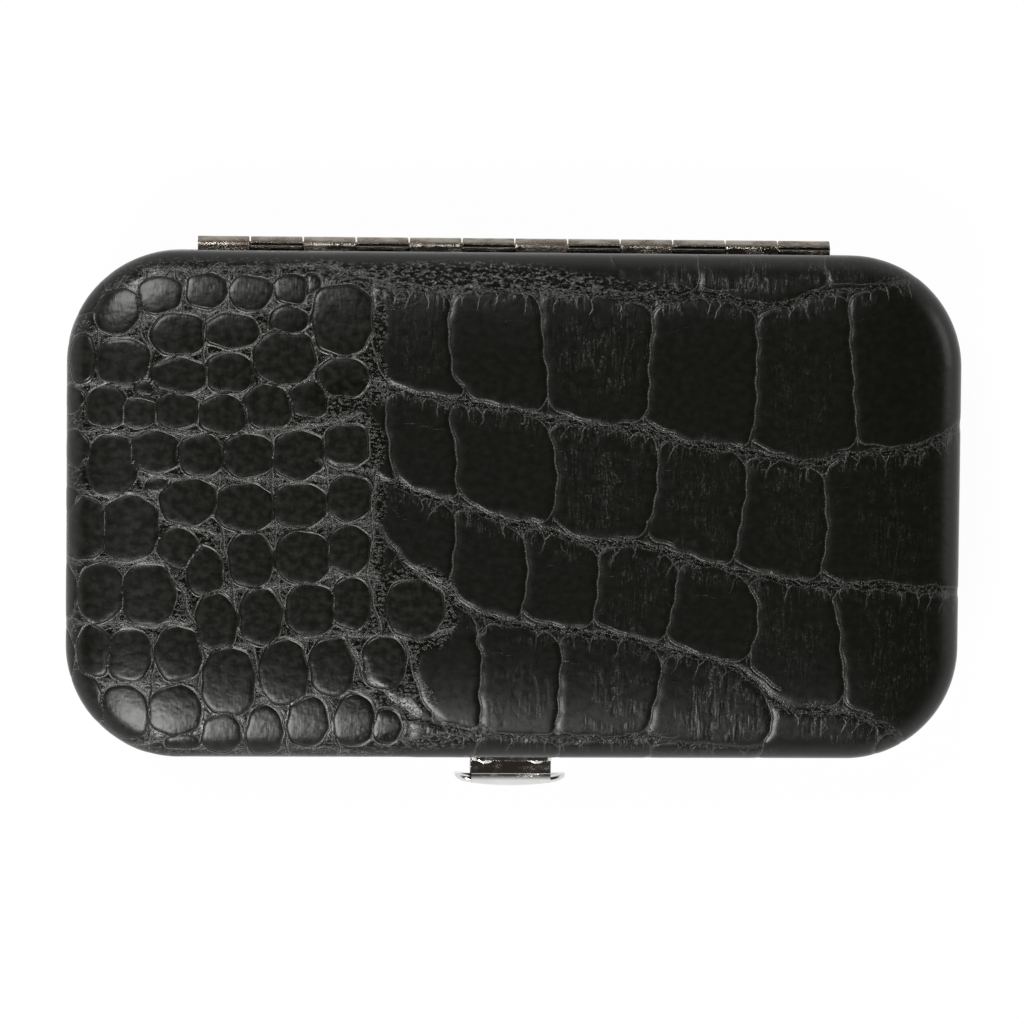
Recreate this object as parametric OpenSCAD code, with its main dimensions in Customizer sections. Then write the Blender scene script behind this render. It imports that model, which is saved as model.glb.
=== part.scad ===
// Pocket manicure set: a two-part pressed steel case covered in embossed leather cloth,
// with a long rear hinge, a sprung front clasp and a small set of tools inside.
// It lies closed on its base. +X runs along the case, +Y to the hinge and +Z up.

/* [Case] */
// Length of the closed case, end to end
case_w = 115; // [114:1:124]
// Depth of the closed case, front wall to rear wall
case_d = 65; // [65:1:70]
// Height of each half, from its outer face to the seam
half_h = 11; // [11:0.5:13]
// Radius of the four corners seen from above
corner_r = 14.5; // [13:0.5:16]
// Radius of the soft edge round each outer face
edge_r = 5; // [4.5:0.5:5.5]
// Gap between the two halves at the seam
seam_gap = 0.2; // [0.2:0.1:0.4]

/* [Walls] */
// Thickness of the leather cloth skin
skin_t = 1; // [0.8:0.1:1.1]
// Thickness of the foam under the flat of the skin
padding_t = 1; // [0.8:0.1:1.2]
// Thickness of the pressed steel shell
shell_t = 0.5; // [0.4:0.1:0.6]
// Thickness of the plated frame round the mouth
frame_t = 0.7; // [0.6:0.1:0.8]
// Thickness of the velvet lining and its card
lining_t = 0.6; // [0.5:0.1:0.7]

/* [Hinge] */
// Number of knuckles along the hinge
knuckles = 12; // [8:2:14]
// Length of the hinge
hinge_w = 82; // [70:1:82]
// Outer radius of a knuckle
knuckle_r = 1.3; // [1.2:0.1:1.4]
// Radius of the hinge pin
hinge_pin_r = 0.7; // [0.6:0.05:0.8]
// Distance of the hinge pin's axis behind the rear wall
hinge_out = 0.5; // [0.5:0.1:0.8]
// Gap between neighbouring knuckles
knuckle_gap = 0.2; // [0.15:0.05:0.3]
// Thickness of the hinge leaves
leaf_t = 0.5; // [0.4:0.1:0.5]

/* [Clasp] */
// Width of the clasp's neck and plates
clasp_w = 10.3; // [9:0.1:12]
// Width of the thumb pad
pad_w = 14.4; // [13:0.1:16]
// Height of the thumb pad
pad_h = 4.8; // [4:0.1:5]
// Depth of the thumb pad's bow, seen from above
pad_bow = 0.7; // [0.5:0.1:0.9]
// Radius of the clasp's pivot pin
clasp_pin_r = 0.5; // [0.4:0.05:0.5]

/* [Interior] */
// Height of the tool tray's top above the base's outer face
tray_top = 6.2; // [6:0.1:6.6]
// Height of the recess floors above the base's outer face
recess_z = 4.2; // [4:0.1:4.4]
// Clearance round a tool in its recess
recess_gap = 0.6; // [0.4:0.1:0.8]
// Width of each elastic strap in the lid
strap_w = 9; // [7:0.5:11]
// Distance of each strap from the middle of the lid
strap_x = 21; // [18:0.5:24]

/* [Hidden] */
$fn = 64;
tiny = 0.01;
far = 60;

total_h = 2 * half_h;
mouth_z = half_h - seam_gap / 2;
rim_r = 0.7;
lip_t = 0.5;
shell_top = mouth_z - lip_t;
flange_h = 2.7;
lining_drop = 1;
lining_edge = 2;
shell_z = skin_t + padding_t;
lining_z = shell_z + shell_t;
floor_z = lining_z + lining_t;
frame_inset = skin_t + shell_t;
lining_inset = frame_inset + frame_t;
inner_inset = lining_inset + lining_t;
wall_y = case_d / 2;
shell_y = wall_y - frame_inset;
shell_edge = edge_r - skin_t - padding_t;

hinge_y = wall_y + hinge_out;
hinge_z = half_h;
press_play = 0.02;
pin_play = 0.05;
pitch = hinge_w / knuckles;
notch_w = hinge_w + 1.4;
notch_h = knuckle_r + 0.3;
leaf_low = 5.2;
leaf_top = half_h - notch_h - 0.2;
leaf_rivet_z = 7;
leaf_rivet_r = 0.8;
leaf_head_r = 1.5;
leaf_head_t = 0.2;
leaf_rivets = [-34, -17, 0, 17, 34];

plate_t = 0.6;
plate_corner = 1;
bracket_low = 5;
bracket_top = 10.4;
bracket_rivet_z = 6.3;
strike_low = 11.6;
strike_top = 16;
strike_rivet_z = 14.9;
lip_w = 7;
lip_reach = 0.8;
clasp_rivet_x = 3.3;
clasp_rivet_r = 0.6;
clasp_head_r = 1;
clasp_head_h = 0.45;
clasp_head_dome_r = 1.4;
clasp_head_t = 0.3;
pivot_out = 1.9;
pivot_z = 8.6;
lever_t = 0.7;
barrel_r = 1.1;
ear_r = 1.15;
ear_t = 0.6;
ear_gap = 0.15;
web_out = 1.8;
hook_out = 0.85;
hook_z = 12.6;
neck_r = 2.2;
spring_window = 3.6;
pad_t = 0.9;
pad_out = 4.35;
pad_low = 7.6;
pad_corner = 1.7;
coil_r = 0.8;
coil_w = 2.2;
coil_turns = 3.5;
coil_steps = 15;
spring_wire_r = 0.16;

board_t = 0.8;
board_z = floor_z + board_t;
board_margin = 3;
strap_t = 0.5;
strap_play = 0.15;
strap_bend = 0.3;
strap_margin = 4.5;

// Nail file, cuticle pusher and tweezers in the lid: each lane's y, width and height
file_lane = [-17, 6, 1.1];
pusher_lane = [-1, 4, 4];
tweezer_lane = [16, 8, 5];
lanes = [file_lane, pusher_lane, tweezer_lane];
lane_x = -42;

file_t = 1;
file_tail_r = 2.9;
pusher_r = 1.9;
grip_r = 2;
spoon_t = 0.7;
spoon_r = 2.6;
tweezer_t = 0.9;

clipper_at = [-48, -20, recess_z + 0.55];
clipper_l = 60;
clipper_w = 13.4;
clipper_tail_r = 4;
clipper_post_x = 7.5;
clipper_post_r = 1.3;
clipper_post_h = 8.2;
clipper_foot = [2.1, 0.55];
clipper_cap = [1.9, 0.5];
clipper_arm_t = 1.2;
clipper_lever_t = 1.1;
clipper_lever_r = 4.6;
clipper_notch_x = 33;
clipper_notch_r = 8;
jaw_r = 20;

scissors_at = [-6, 8, recess_z];
blade_t = 1.2;
blade_gap = 0.04;
boss_r = 3.6;
ring_at = [36.5, 9.6];
ring_l = 22;
ring_w = 18;
ring_wall = 2.4;
screw_r = 1.2;
screw_head = [2.2, 0.6];
slot_w = 0.5;
slot_depth = 0.3;

// Turns a shape drawn for the base, outer face down, into the lid's, outer face up.
module lid_side() {
    translate([0, 0, total_h]) mirror([0, 0, 1]) children();
}

// Rectangle with round corners, centred.
module round_rect(w, d, r) {
    square([w - 2 * r, d], center = true);
    square([w, d - 2 * r], center = true);
    for (x = [-1, 1], y = [-1, 1])
        translate([x * (w / 2 - r), y * (d / 2 - r)]) circle(r);
}

// Half of a pan's outline from its middle out: soft lower edge, slightly rounded rim.
module pan_profile(reach, h, edge, rim) {
    translate([0, edge]) square([reach, h - edge - rim]);
    square([reach - edge, h]);
    translate([reach - edge, edge]) intersection() {
        circle(edge);
        translate([0, -edge]) square([edge, edge + tiny]);
    }
    if (rim > 0) {
        translate([0, h - rim - tiny]) square([reach - rim, rim + tiny]);
        translate([reach - rim, h - rim]) intersection() {
            circle(rim);
            translate([0, -tiny]) square([rim, rim + tiny]);
        }
    }
}

// Solid block with round corners, a soft lower edge and an optional rounded rim.
module pan_block(w, d, h, r, edge, rim) {
    for (x = [-1, 1], y = [-1, 1])
        translate([x * (w / 2 - r), y * (d / 2 - r), 0])
            rotate_extrude() pan_profile(r, h, edge, rim);
    for (side = [0, 1]) mirror([0, side, 0])
        rotate([90, 0, 90]) linear_extrude(w - 2 * r, center = true) pan_profile(d / 2, h, edge, rim);
    for (side = [0, 1]) mirror([side, 0, 0])
        rotate([90, 0, 0]) linear_extrude(d - 2 * r, center = true) pan_profile(w / 2, h, edge, rim);
}

// The block that a half of the case fills, inset from its outer face.
module half_block(inset, z, top, edge, rim = 0) {
    translate([0, 0, z])
        pan_block(case_w - 2 * inset, case_d - 2 * inset, top - z, corner_r - inset, edge, rim);
}

// The same outline with straight walls.
module half_prism(inset, z, top) {
    translate([0, 0, z]) linear_extrude(top - z)
        round_rect(case_w - 2 * inset, case_d - 2 * inset, corner_r - inset);
}

// The cut in the rear walls that the hinge lies in.
module hinge_notch() {
    translate([-notch_w / 2, wall_y - 4, half_h - notch_h]) cube([notch_w, 8, half_h]);
}

module front_holes(z) {
    for (x = [-1, 1]) translate([x * clasp_rivet_x, -wall_y, z])
        rotate([90, 0, 0]) cylinder(r = clasp_rivet_r, h = 6, center = true);
}

module leaf_holes() {
    for (x = leaf_rivets) translate([x, shell_y, leaf_rivet_z])
        rotate([90, 0, 0]) cylinder(r = leaf_rivet_r, h = 2.2, center = true);
}

// Leather cloth over the outside of a half, with its edge turned in at the seam.
module skin(rivet_z) {
    color([0.07, 0.07, 0.07]) difference() {
        half_block(0, 0, mouth_z, edge_r, rim_r);
        half_block(skin_t, skin_t, half_h, edge_r - skin_t);
        hinge_notch();
        front_holes(rivet_z);
    }
}

// Foam sheet that makes the flat of the skin feel soft.
module padding() {
    color([0.82, 0.8, 0.74]) intersection() {
        half_block(skin_t, skin_t, half_h, edge_r - skin_t);
        translate([-far, -far, skin_t]) cube([2 * far, 2 * far, padding_t]);
    }
}

// Pressed steel pan that gives the half its stiffness.
module shell(rivet_z) {
    color([0.45, 0.46, 0.47]) difference() {
        half_block(skin_t, shell_z, shell_top, shell_edge);
        half_block(frame_inset, lining_z, half_h, shell_edge - shell_t);
        hinge_notch();
        front_holes(rivet_z);
        leaf_holes();
    }
}

// Angle round the mouth: a flange inside the shell and a lip over its rim, open at the hinge.
module frame() {
    color([0.3, 0.3, 0.31]) difference() {
        union() {
            half_prism(frame_inset, half_h - flange_h, mouth_z);
            half_prism(skin_t, shell_top, mouth_z);
        }
        half_prism(lining_inset, 0, half_h);
        translate([-notch_w / 2, wall_y - 6, 0]) cube([notch_w, 8, half_h]);
    }
}

// Velvet on card, dropped into the frame.
module lining() {
    color([0.12, 0.12, 0.13]) difference() {
        half_block(lining_inset, lining_z, half_h - lining_drop, lining_edge);
        half_block(inner_inset, floor_z, half_h, lining_edge - lining_t);
    }
}

// One hinge leaf: a plate inside the rear wall, with a knuckle and web at every other place.
module hinge_leaf(first, play) {
    color([0.72, 0.72, 0.73]) difference() {
        union() {
            translate([-hinge_w / 2, shell_y - leaf_t, leaf_low])
                cube([hinge_w, leaf_t, leaf_top - leaf_low]);
            for (i = [first : 2 : knuckles - 1])
                translate([-hinge_w / 2 + i * pitch + knuckle_gap / 2, 0, 0])
                    leaf_knuckle(pitch - knuckle_gap);
        }
        translate([0, hinge_y, hinge_z]) rotate([0, 90, 0])
            cylinder(r = hinge_pin_r + play, h = hinge_w + 2, center = true);
        leaf_holes();
    }
}

module leaf_knuckle(length) {
    web_z = hinge_z - knuckle_r;
    translate([0, hinge_y, hinge_z]) rotate([0, 90, 0]) cylinder(r = knuckle_r, h = length);
    translate([0, shell_y - leaf_t, web_z]) cube([length, hinge_y - shell_y + leaf_t, leaf_t]);
    translate([0, shell_y - leaf_t, leaf_low]) cube([length, leaf_t, web_z + leaf_t - leaf_low]);
}

module hinge_pin() {
    color([0.6, 0.6, 0.61]) translate([0, hinge_y, hinge_z]) rotate([0, 90, 0])
        cylinder(r = hinge_pin_r, h = hinge_w - knuckle_gap, center = true);
}

// Flat rivets through a hinge leaf and the shell, under the skin.
module leaf_rivets() {
    head_y = shell_y - leaf_t - leaf_head_t;
    color([0.6, 0.6, 0.61]) for (x = leaf_rivets)
        translate([x, head_y, leaf_rivet_z]) rotate([-90, 0, 0]) {
            cylinder(r = leaf_head_r, h = leaf_head_t);
            cylinder(r = leaf_rivet_r, h = leaf_head_t + leaf_t + shell_t);
        }
}

// Two rivets through a clasp plate, the skin and the shell, with low domed heads.
module clasp_rivets(z) {
    color([0.7, 0.7, 0.71]) for (x = [-1, 1])
        translate([x * clasp_rivet_x, -wall_y - plate_t, z]) rotate([90, 0, 0]) {
            intersection() {
                cylinder(r = clasp_head_r, h = 1);
                translate([0, 0, clasp_head_h - clasp_head_dome_r]) sphere(clasp_head_dome_r);
            }
            translate([0, 0, -frame_inset - plate_t])
                cylinder(r = clasp_rivet_r, h = frame_inset + plate_t + tiny);
            translate([0, 0, -frame_inset - plate_t - clasp_head_t])
                cylinder(r = clasp_head_r, h = clasp_head_t);
        }
}

// Plate on the front wall between two heights, with round corners at its lower end.
module front_plate(low, high) {
    translate([0, -wall_y, 0]) rotate([90, 0, 0]) linear_extrude(plate_t) {
        translate([-clasp_w / 2, low + plate_corner]) square([clasp_w, high - low - plate_corner]);
        translate([-clasp_w / 2 + plate_corner, low])
            square([clasp_w - 2 * plate_corner, high - low]);
        for (x = [-1, 1])
            translate([x * (clasp_w / 2 - plate_corner), low + plate_corner]) circle(plate_corner);
    }
}

// Moves a shape drawn along +Z at the origin to the clasp's pivot, along X.
module at_pivot() {
    translate([0, -wall_y - pivot_out, pivot_z]) rotate([0, 90, 0]) children();
}

// Plate on the base's front wall with two ears that carry the clasp's pivot pin.
module clasp_bracket() {
    color([0.75, 0.75, 0.76]) difference() {
        union() {
            front_plate(bracket_low, bracket_top);
            for (x = [-1, 1]) translate([x * (clasp_w - ear_t) / 2, 0, 0]) {
                at_pivot() cylinder(r = ear_r, h = ear_t, center = true);
                translate([-ear_t / 2, -wall_y - pivot_out, pivot_z - ear_r])
                    cube([ear_t, pivot_out, 2 * ear_r]);
            }
        }
        front_holes(bracket_rivet_z);
        at_pivot() cylinder(r = clasp_pin_r, h = clasp_w + 2, center = true);
    }
}

module clasp_pivot_pin() {
    color([0.6, 0.6, 0.61]) at_pivot() cylinder(r = clasp_pin_r, h = clasp_w, center = true);
}

// Plate on the lid's front wall with the lip that the clasp hooks over.
module clasp_strike() {
    color([0.75, 0.75, 0.76]) difference() {
        union() {
            lid_side() front_plate(total_h - strike_top, total_h - strike_low);
            translate([-lip_w / 2, -wall_y - plate_t - lip_reach, hook_z - 0.75])
                cube([lip_w, lip_reach + tiny, 0.6]);
        }
        front_holes(strike_rivet_z);
    }
}

// A round wire swept along a list of points that never runs along X for long.
module wire(points, r, sides) {
    last = len(points) - 1;
    rings = [for (i = [0 : last])
        let (ahead = points[min(i + 1, last)] - points[max(i - 1, 0)],
            along = ahead / norm(ahead),
            flat = cross(along, [1, 0, 0]),
            across = flat / norm(flat),
            up = cross(across, along))
        for (k = [0 : sides - 1])
            points[i] + r * (cos(360 * k / sides) * across + sin(360 * k / sides) * up)];
    walls = [for (i = [0 : last - 1], k = [0 : sides - 1])
        let (a = i * sides + k, b = i * sides + (k + 1) % sides)
        [a, b, b + sides, a + sides]];
    first_cap = [for (k = [sides - 1 : -1 : 0]) k];
    last_cap = [for (k = [0 : sides - 1]) last * sides + k];
    polyhedron(rings, concat(walls, [first_cap, last_cap]), convexity = 4);
}

// Torsion spring round the pivot: one leg on the bracket's plate, one inside the thumb pad.
module clasp_spring() {
    turn = 360 * coil_turns;
    count = floor(coil_turns * coil_steps);
    coil = [for (i = [0 : count])
        [coil_w * (i / count - 0.5), coil_r * cos(turn * i / count), coil_r * sin(turn * i / count)]];
    bracket_leg = [-coil_w / 2, pivot_out - plate_t - spring_wire_r, -2.4];
    pad_leg = [coil_w / 2, -pad_out + pad_t + pivot_out + spring_wire_r, pad_low - pivot_z + 0.2];
    color([0.55, 0.55, 0.56]) translate([0, -wall_y - pivot_out, pivot_z])
        wire(concat([bracket_leg], coil, [pad_leg]), spring_wire_r, 8);
}

// A block of the lever between two distances in front of the wall and two heights.
module lever_block(width, near, away, low, high) {
    translate([-width / 2, -wall_y - away, low]) cube([width, away - near, high - low]);
}

// Rounded shoulder that runs from the hook's top out and down to the thumb pad.
module lever_neck(near, top) {
    translate([0, -wall_y - near, top - neck_r]) rotate([0, 90, 0])
        linear_extrude(clasp_w, center = true) difference() {
            circle(neck_r);
            circle(neck_r - lever_t);
            translate([0, -far]) square(2 * far);
            translate([-far, 0]) square(2 * far);
        }
}

// Bowed plate that the thumb presses.
module thumb_pad() {
    bow_r = (pad_w * pad_w / 4 + pad_bow * pad_bow) / (2 * pad_bow);
    intersection() {
        translate([0, bow_r - wall_y - pad_out, 0]) difference() {
            cylinder(r = bow_r, h = total_h, $fn = 200);
            translate([0, 0, -1]) cylinder(r = bow_r - pad_t, h = total_h + 2, $fn = 200);
        }
        translate([0, -wall_y, pad_low + pad_h / 2]) rotate([90, 0, 0])
            linear_extrude(pad_out + 1) round_rect(pad_w, pad_h, pad_corner);
    }
}

// Sprung lever: barrels on the pin, a web up to the hook, a shoulder and the thumb pad.
module clasp_lever() {
    web_w = clasp_w - 2 * (ear_t + ear_gap);
    top = hook_z + lever_t;
    color([0.8, 0.8, 0.81]) {
        difference() {
            union() {
                lever_block(web_w, web_out, web_out + lever_t, pivot_z, top - 0.1);
                at_pivot() cylinder(r = barrel_r, h = web_w, center = true);
            }
            translate([-spring_window / 2, -wall_y - pivot_out - 2, pivot_z - 2])
                cube([spring_window, 4, 3.7]);
            at_pivot() cylinder(r = clasp_pin_r + pin_play, h = clasp_w, center = true);
        }
        lever_block(clasp_w, hook_out, web_out + lever_t, hook_z, top);
        lever_neck(web_out + 0.3, top);
        thumb_pad();
    }
}

// Plan of the clipper's recess, with a thumb notch.
module clipper_recess(gap) {
    translate([clipper_at.x - gap, clipper_at.y - clipper_w / 2 - gap])
        square([clipper_l + 2 * gap, clipper_w + 2 * gap]);
    translate([clipper_at.x + clipper_notch_x, clipper_at.y]) circle(clipper_notch_r);
}

// Plan of the scissors' recess: blades, shanks and rings.
module scissors_recess(gap) {
    translate([scissors_at.x, scissors_at.y]) {
        translate([-36 - gap, -4 - gap]) square([42 + gap, 8 + 2 * gap]);
        polygon([[4, -4 - gap], [4, 4 + gap], [27, 12 + gap], [27, -12 - gap]]);
        for (y = [-1, 1]) translate([ring_at.x, y * ring_at.y])
            round_rect(ring_l + 2 * gap, ring_w + 2 * gap, ring_w / 2);
        translate([26, -8]) square([20, 16]);
    }
}

// Velvet-covered foam block with a recess for each large tool.
module tool_tray() {
    color([0.1, 0.1, 0.11]) difference() {
        half_block(inner_inset + 0.25, floor_z, tray_top, lining_edge - lining_t);
        translate([0, 0, recess_z]) linear_extrude(tray_top) clipper_recess(recess_gap);
        translate([0, 0, recess_z]) linear_extrude(tray_top) scissors_recess(recess_gap);
    }
}

// Card panel in the lid that the straps are sewn to.
module lid_board() {
    inset = inner_inset + board_margin;
    color([0.14, 0.14, 0.15]) half_prism(inset, floor_z, board_z);
}

module arch(w, h, r) {
    translate([-w / 2, 0]) square([w, h - r]);
    translate([-w / 2 + r, 0]) square([w - 2 * r, h]);
    for (x = [-1, 1]) translate([x * (w / 2 - r), h - r]) circle(r);
}

// Elastic strap sewn down between the tools and arched over each of them.
module strap(x) {
    strap_l = case_d - 2 * (inner_inset + strap_margin);
    color([0.05, 0.05, 0.05]) translate([x - strap_w / 2, 0, board_z]) rotate([90, 0, 90])
        linear_extrude(strap_w) difference() {
            union() {
                translate([-strap_l / 2, 0]) square([strap_l, strap_t]);
                for (lane = lanes) translate([lane[0], 0])
                    arch(lane[1] + 2 * (strap_play + strap_t), lane[2] + strap_play + strap_t,
                        strap_bend + strap_t);
            }
            for (lane = lanes) translate([lane[0], -tiny])
                arch(lane[1] + 2 * strap_play, lane[2] + strap_play + tiny, strap_bend);
        }
}

// Strip of even thickness along a side view's line of points.
module strip(line, t) {
    polygon(concat([for (p = line) p + [0, t / 2]],
        [for (i = [len(line) - 1 : -1 : 0]) line[i] - [0, t / 2]]));
}

// A strip as wide as it is cut later, drawn from the side.
module side_strip(line, t) {
    rotate([90, 0, 0]) linear_extrude(2 * clipper_w, center = true) strip(line, t);
}

// Clipper arm: a bent strip cut to the arms' plan, with a hollow cutting edge at its low x end.
module clipper_arm(line) {
    half_w = clipper_w / 2;
    tail_x = clipper_l - clipper_tail_r;
    color([0.78, 0.78, 0.79]) translate(clipper_at) difference() {
        intersection() {
            side_strip(line, clipper_arm_t);
            translate([0, 0, -2]) linear_extrude(14) union() {
                polygon([[0, -half_w], [8, -half_w], [14, -5], [tail_x, -clipper_tail_r],
                    [tail_x, clipper_tail_r], [14, 5], [8, half_w], [0, half_w]]);
                translate([tail_x, 0]) circle(clipper_tail_r);
            }
        }
        translate([0.9 - jaw_r, 0, -3]) cylinder(r = jaw_r, h = 16, $fn = 128);
        translate([clipper_post_x, 0, -3]) cylinder(r = clipper_post_r + 0.1, h = 16);
    }
}

module clipper_lower_arm() {
    clipper_arm([[-1, 2.3], [0.9, 2], [4, 0.8], [10, 0.65], [30, 1.2], [46, 2.3], [62, 2.5]]);
}

module clipper_upper_arm() {
    clipper_arm([[-1, 4.5], [0.9, 4.8], [4, 5.8], [10, 5.9], [30, 5.2], [46, 3.9], [62, 3.72]]);
}

// Lever on top of the clipper, with a round tail and a ribbed grip near it.
module clipper_lever() {
    tail_x = 52;
    color([0.8, 0.8, 0.81]) translate(clipper_at) difference() {
        intersection() {
            side_strip([[2, 7.2], [10, 7.4], [30, 6.9], [48, 6.6], [58, 7.3]], clipper_lever_t);
            linear_extrude(14) union() {
                polygon([[3, -3.4], [14, -3.4], [22, -clipper_lever_r], [tail_x, -clipper_lever_r],
                    [tail_x, clipper_lever_r], [22, clipper_lever_r], [14, 3.4], [3, 3.4]]);
                translate([tail_x, 0]) circle(clipper_lever_r);
            }
        }
        translate([clipper_post_x, 0, 0]) cylinder(r = clipper_post_r + 0.1, h = 16);
        for (x = [34 : 2.2 : 47]) translate([x, 0, 8]) rotate([90, 0, 0])
            cylinder(r = 0.7, h = 12, center = true);
    }
}

// Post through the arms and the lever: a foot, a shank and a slotted cap.
module clipper_post() {
    color([0.7, 0.7, 0.71]) translate(clipper_at + [clipper_post_x, 0, 0]) difference() {
        union() {
            translate([0, 0, -clipper_foot[1]]) cylinder(r = clipper_foot[0], h = clipper_foot[1]);
            cylinder(r = clipper_post_r, h = clipper_post_h);
            translate([0, 0, clipper_post_h]) cylinder(r = clipper_cap[0], h = clipper_cap[1]);
        }
        translate([-3, -slot_w / 2, clipper_post_h + clipper_cap[1] - slot_depth])
            cube([6, slot_w, slot_depth + tiny]);
    }
}

// One half of the scissors: blade, shank and finger ring. Level is 0 below and 1 above.
module scissors_half(level) {
    blade = [[4, -3], [-4, -3.7], [-16, -3.2], [-27, -1.7], [-35, 0.3], [-35, 0.7], [-20, 1.2],
        [-5, 1.3], [4, 3.2]];
    shank = [[-3, -3], [4, -3], [12, 0.8], [21, 4], [29, 6.4], [29, 10.4], [20, 8], [9, 4.6],
        [-3, 3]];
    color([0.8, 0.8, 0.81]) translate(scissors_at) mirror([0, level, 0]) difference() {
        union() {
            translate([0, 0, level * (blade_t + blade_gap)]) linear_extrude(blade_t) {
                polygon(blade);
                polygon(shank);
                circle(boss_r);
            }
            translate(ring_at) linear_extrude(2 * blade_t + blade_gap)
                round_rect(ring_l, ring_w, ring_w / 2 - tiny);
        }
        translate(ring_at) translate([0, 0, -1]) linear_extrude(6)
            round_rect(ring_l - 2 * ring_wall, ring_w - 2 * ring_wall, ring_w / 2 - ring_wall - tiny);
        translate([0, 0, -1]) cylinder(r = screw_r + pin_play, h = 6);
    }
}

module scissors_screw() {
    head_z = 2 * blade_t + blade_gap;
    color([0.7, 0.7, 0.71]) translate(scissors_at) difference() {
        union() {
            cylinder(r = screw_r, h = head_z);
            translate([0, 0, head_z]) cylinder(r = screw_head[0], h = screw_head[1]);
        }
        translate([-3, -slot_w / 2, head_z + screw_head[1] - slot_depth])
            cube([6, slot_w, slot_depth + tiny]);
    }
}

// Slant-tipped tweezers on their side: two bent arms joined at the tail.
module tweezers() {
    color([0.78, 0.78, 0.79]) translate([lane_x, tweezer_lane[0], board_z]) intersection() {
        union() {
            side_strip([[-1, 2.1], [3, 1.8], [14, 0.55], [42, 0.45], [66, 0.9], [86, 2]], tweezer_t);
            side_strip([[-1, 2.9], [3, 3.2], [14, 4.35], [42, 4.45], [66, 4.1], [86, 3]], tweezer_t);
            translate([-2, -10, 1.9]) cube([6.5, 20, 1.2]);
        }
        linear_extrude(8) union() {
            polygon([[4, -4], [40, -4], [60, -3.4], [82.2, -1.6], [84, 1.6], [60, 3.4], [40, 4], [4, 4]]);
            translate([4, 0]) circle(4);
        }
    }
}

// Flat file with a pointed tip, a waist and a rounded grip.
module nail_file() {
    color([0.74, 0.74, 0.75]) translate([lane_x, file_lane[0], board_z]) linear_extrude(file_t) {
        polygon([[0, -0.3], [10, -2.5], [50, -file_tail_r], [56, -1.8], [62, -file_tail_r],
            [81, -file_tail_r], [81, file_tail_r], [62, file_tail_r], [56, 1.8],
            [50, file_tail_r], [10, 2.5], [0, 0.3]]);
        translate([81, 0]) circle(file_tail_r);
    }
}

// Round-handled pusher with a flat spoon at one end and a chisel at the other.
module cuticle_pusher() {
    handle_z = 14;
    handle_l = 54;
    cone_h = 6;
    color([0.78, 0.78, 0.79]) translate([lane_x, pusher_lane[0], board_z + grip_r + 0.05])
        rotate([90, 0, 90]) {
            translate([0, 0, handle_z]) cylinder(r = pusher_r, h = handle_l);
            translate([0, 0, handle_z - cone_h]) cylinder(r1 = 0.7, r2 = pusher_r, h = cone_h + tiny);
            translate([0, 0, handle_z + handle_l - tiny]) cylinder(r1 = pusher_r, r2 = 0.7, h = cone_h);
            for (z = [24 : 4 : 58]) translate([0, 0, z]) cylinder(r = grip_r, h = 2);
            translate([0, spoon_t / 2, 0]) rotate([90, 0, 0]) linear_extrude(spoon_t) {
                translate([0, spoon_r]) circle(spoon_r);
                translate([-1, spoon_r]) square([2, 10 - spoon_r]);
            }
            translate([-1.6, -spoon_t / 2, 73]) cube([3.2, spoon_t, 11]);
        }
}

skin(bracket_rivet_z);  // base_skin
padding();  // base_padding
shell(bracket_rivet_z);  // base_shell
frame();  // base_frame
lining();  // base_lining
tool_tray();
hinge_leaf(1, press_play);  // base_hinge_leaf
hinge_pin();
leaf_rivets();  // base_leaf_rivets
clasp_bracket();
clasp_rivets(bracket_rivet_z);  // bracket_rivets
clasp_pivot_pin();
clasp_spring();
lid_side() skin(total_h - strike_rivet_z);  // lid_skin
lid_side() padding();  // lid_padding
lid_side() shell(total_h - strike_rivet_z);  // lid_shell
lid_side() frame();  // lid_frame
lid_side() lining();  // lid_lining
lid_side() lid_board();
lid_side() strap(-strap_x);  // strap_left
lid_side() strap(strap_x);  // strap_right
lid_side() hinge_leaf(0, pin_play);  // lid_hinge_leaf
lid_side() leaf_rivets();  // lid_leaf_rivets
clasp_strike();
clasp_rivets(strike_rivet_z);  // strike_rivets
clasp_lever();
clipper_lower_arm();
clipper_upper_arm();
clipper_lever();
clipper_post();
scissors_half(0);  // scissors_lower_half
scissors_half(1);  // scissors_upper_half
scissors_screw();
lid_side() tweezers();
lid_side() nail_file();
lid_side() cuticle_pusher();
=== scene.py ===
import math

import bpy
import numpy as np
from mathutils import Matrix, Vector


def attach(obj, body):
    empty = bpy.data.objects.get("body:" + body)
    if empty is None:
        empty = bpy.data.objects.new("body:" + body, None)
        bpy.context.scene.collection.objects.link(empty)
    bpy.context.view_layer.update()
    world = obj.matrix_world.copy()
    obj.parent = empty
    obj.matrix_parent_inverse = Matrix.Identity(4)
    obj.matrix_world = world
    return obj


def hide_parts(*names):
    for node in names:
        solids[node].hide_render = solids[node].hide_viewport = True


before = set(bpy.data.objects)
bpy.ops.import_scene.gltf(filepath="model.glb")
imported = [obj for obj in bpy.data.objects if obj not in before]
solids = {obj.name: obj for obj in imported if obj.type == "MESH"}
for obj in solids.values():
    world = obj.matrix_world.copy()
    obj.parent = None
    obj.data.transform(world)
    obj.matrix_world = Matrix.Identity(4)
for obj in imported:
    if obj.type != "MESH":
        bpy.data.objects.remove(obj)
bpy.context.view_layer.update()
mm = 0.001
print("frame loaded:", len(solids), "solids")


def leave():
    bpy.ops.object.mode_set(mode="OBJECT")


def clearSelection():
    if bpy.context.object and bpy.context.object.mode != "OBJECT":
        leave()
    bpy.ops.object.select_all(action="DESELECT")


def pick(piece):
    clearSelection()
    piece.select_set(True)
    bpy.context.view_layer.objects.active = piece
    return piece


def edit(piece):
    pick(piece)
    bpy.ops.object.mode_set(mode="EDIT")


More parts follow.
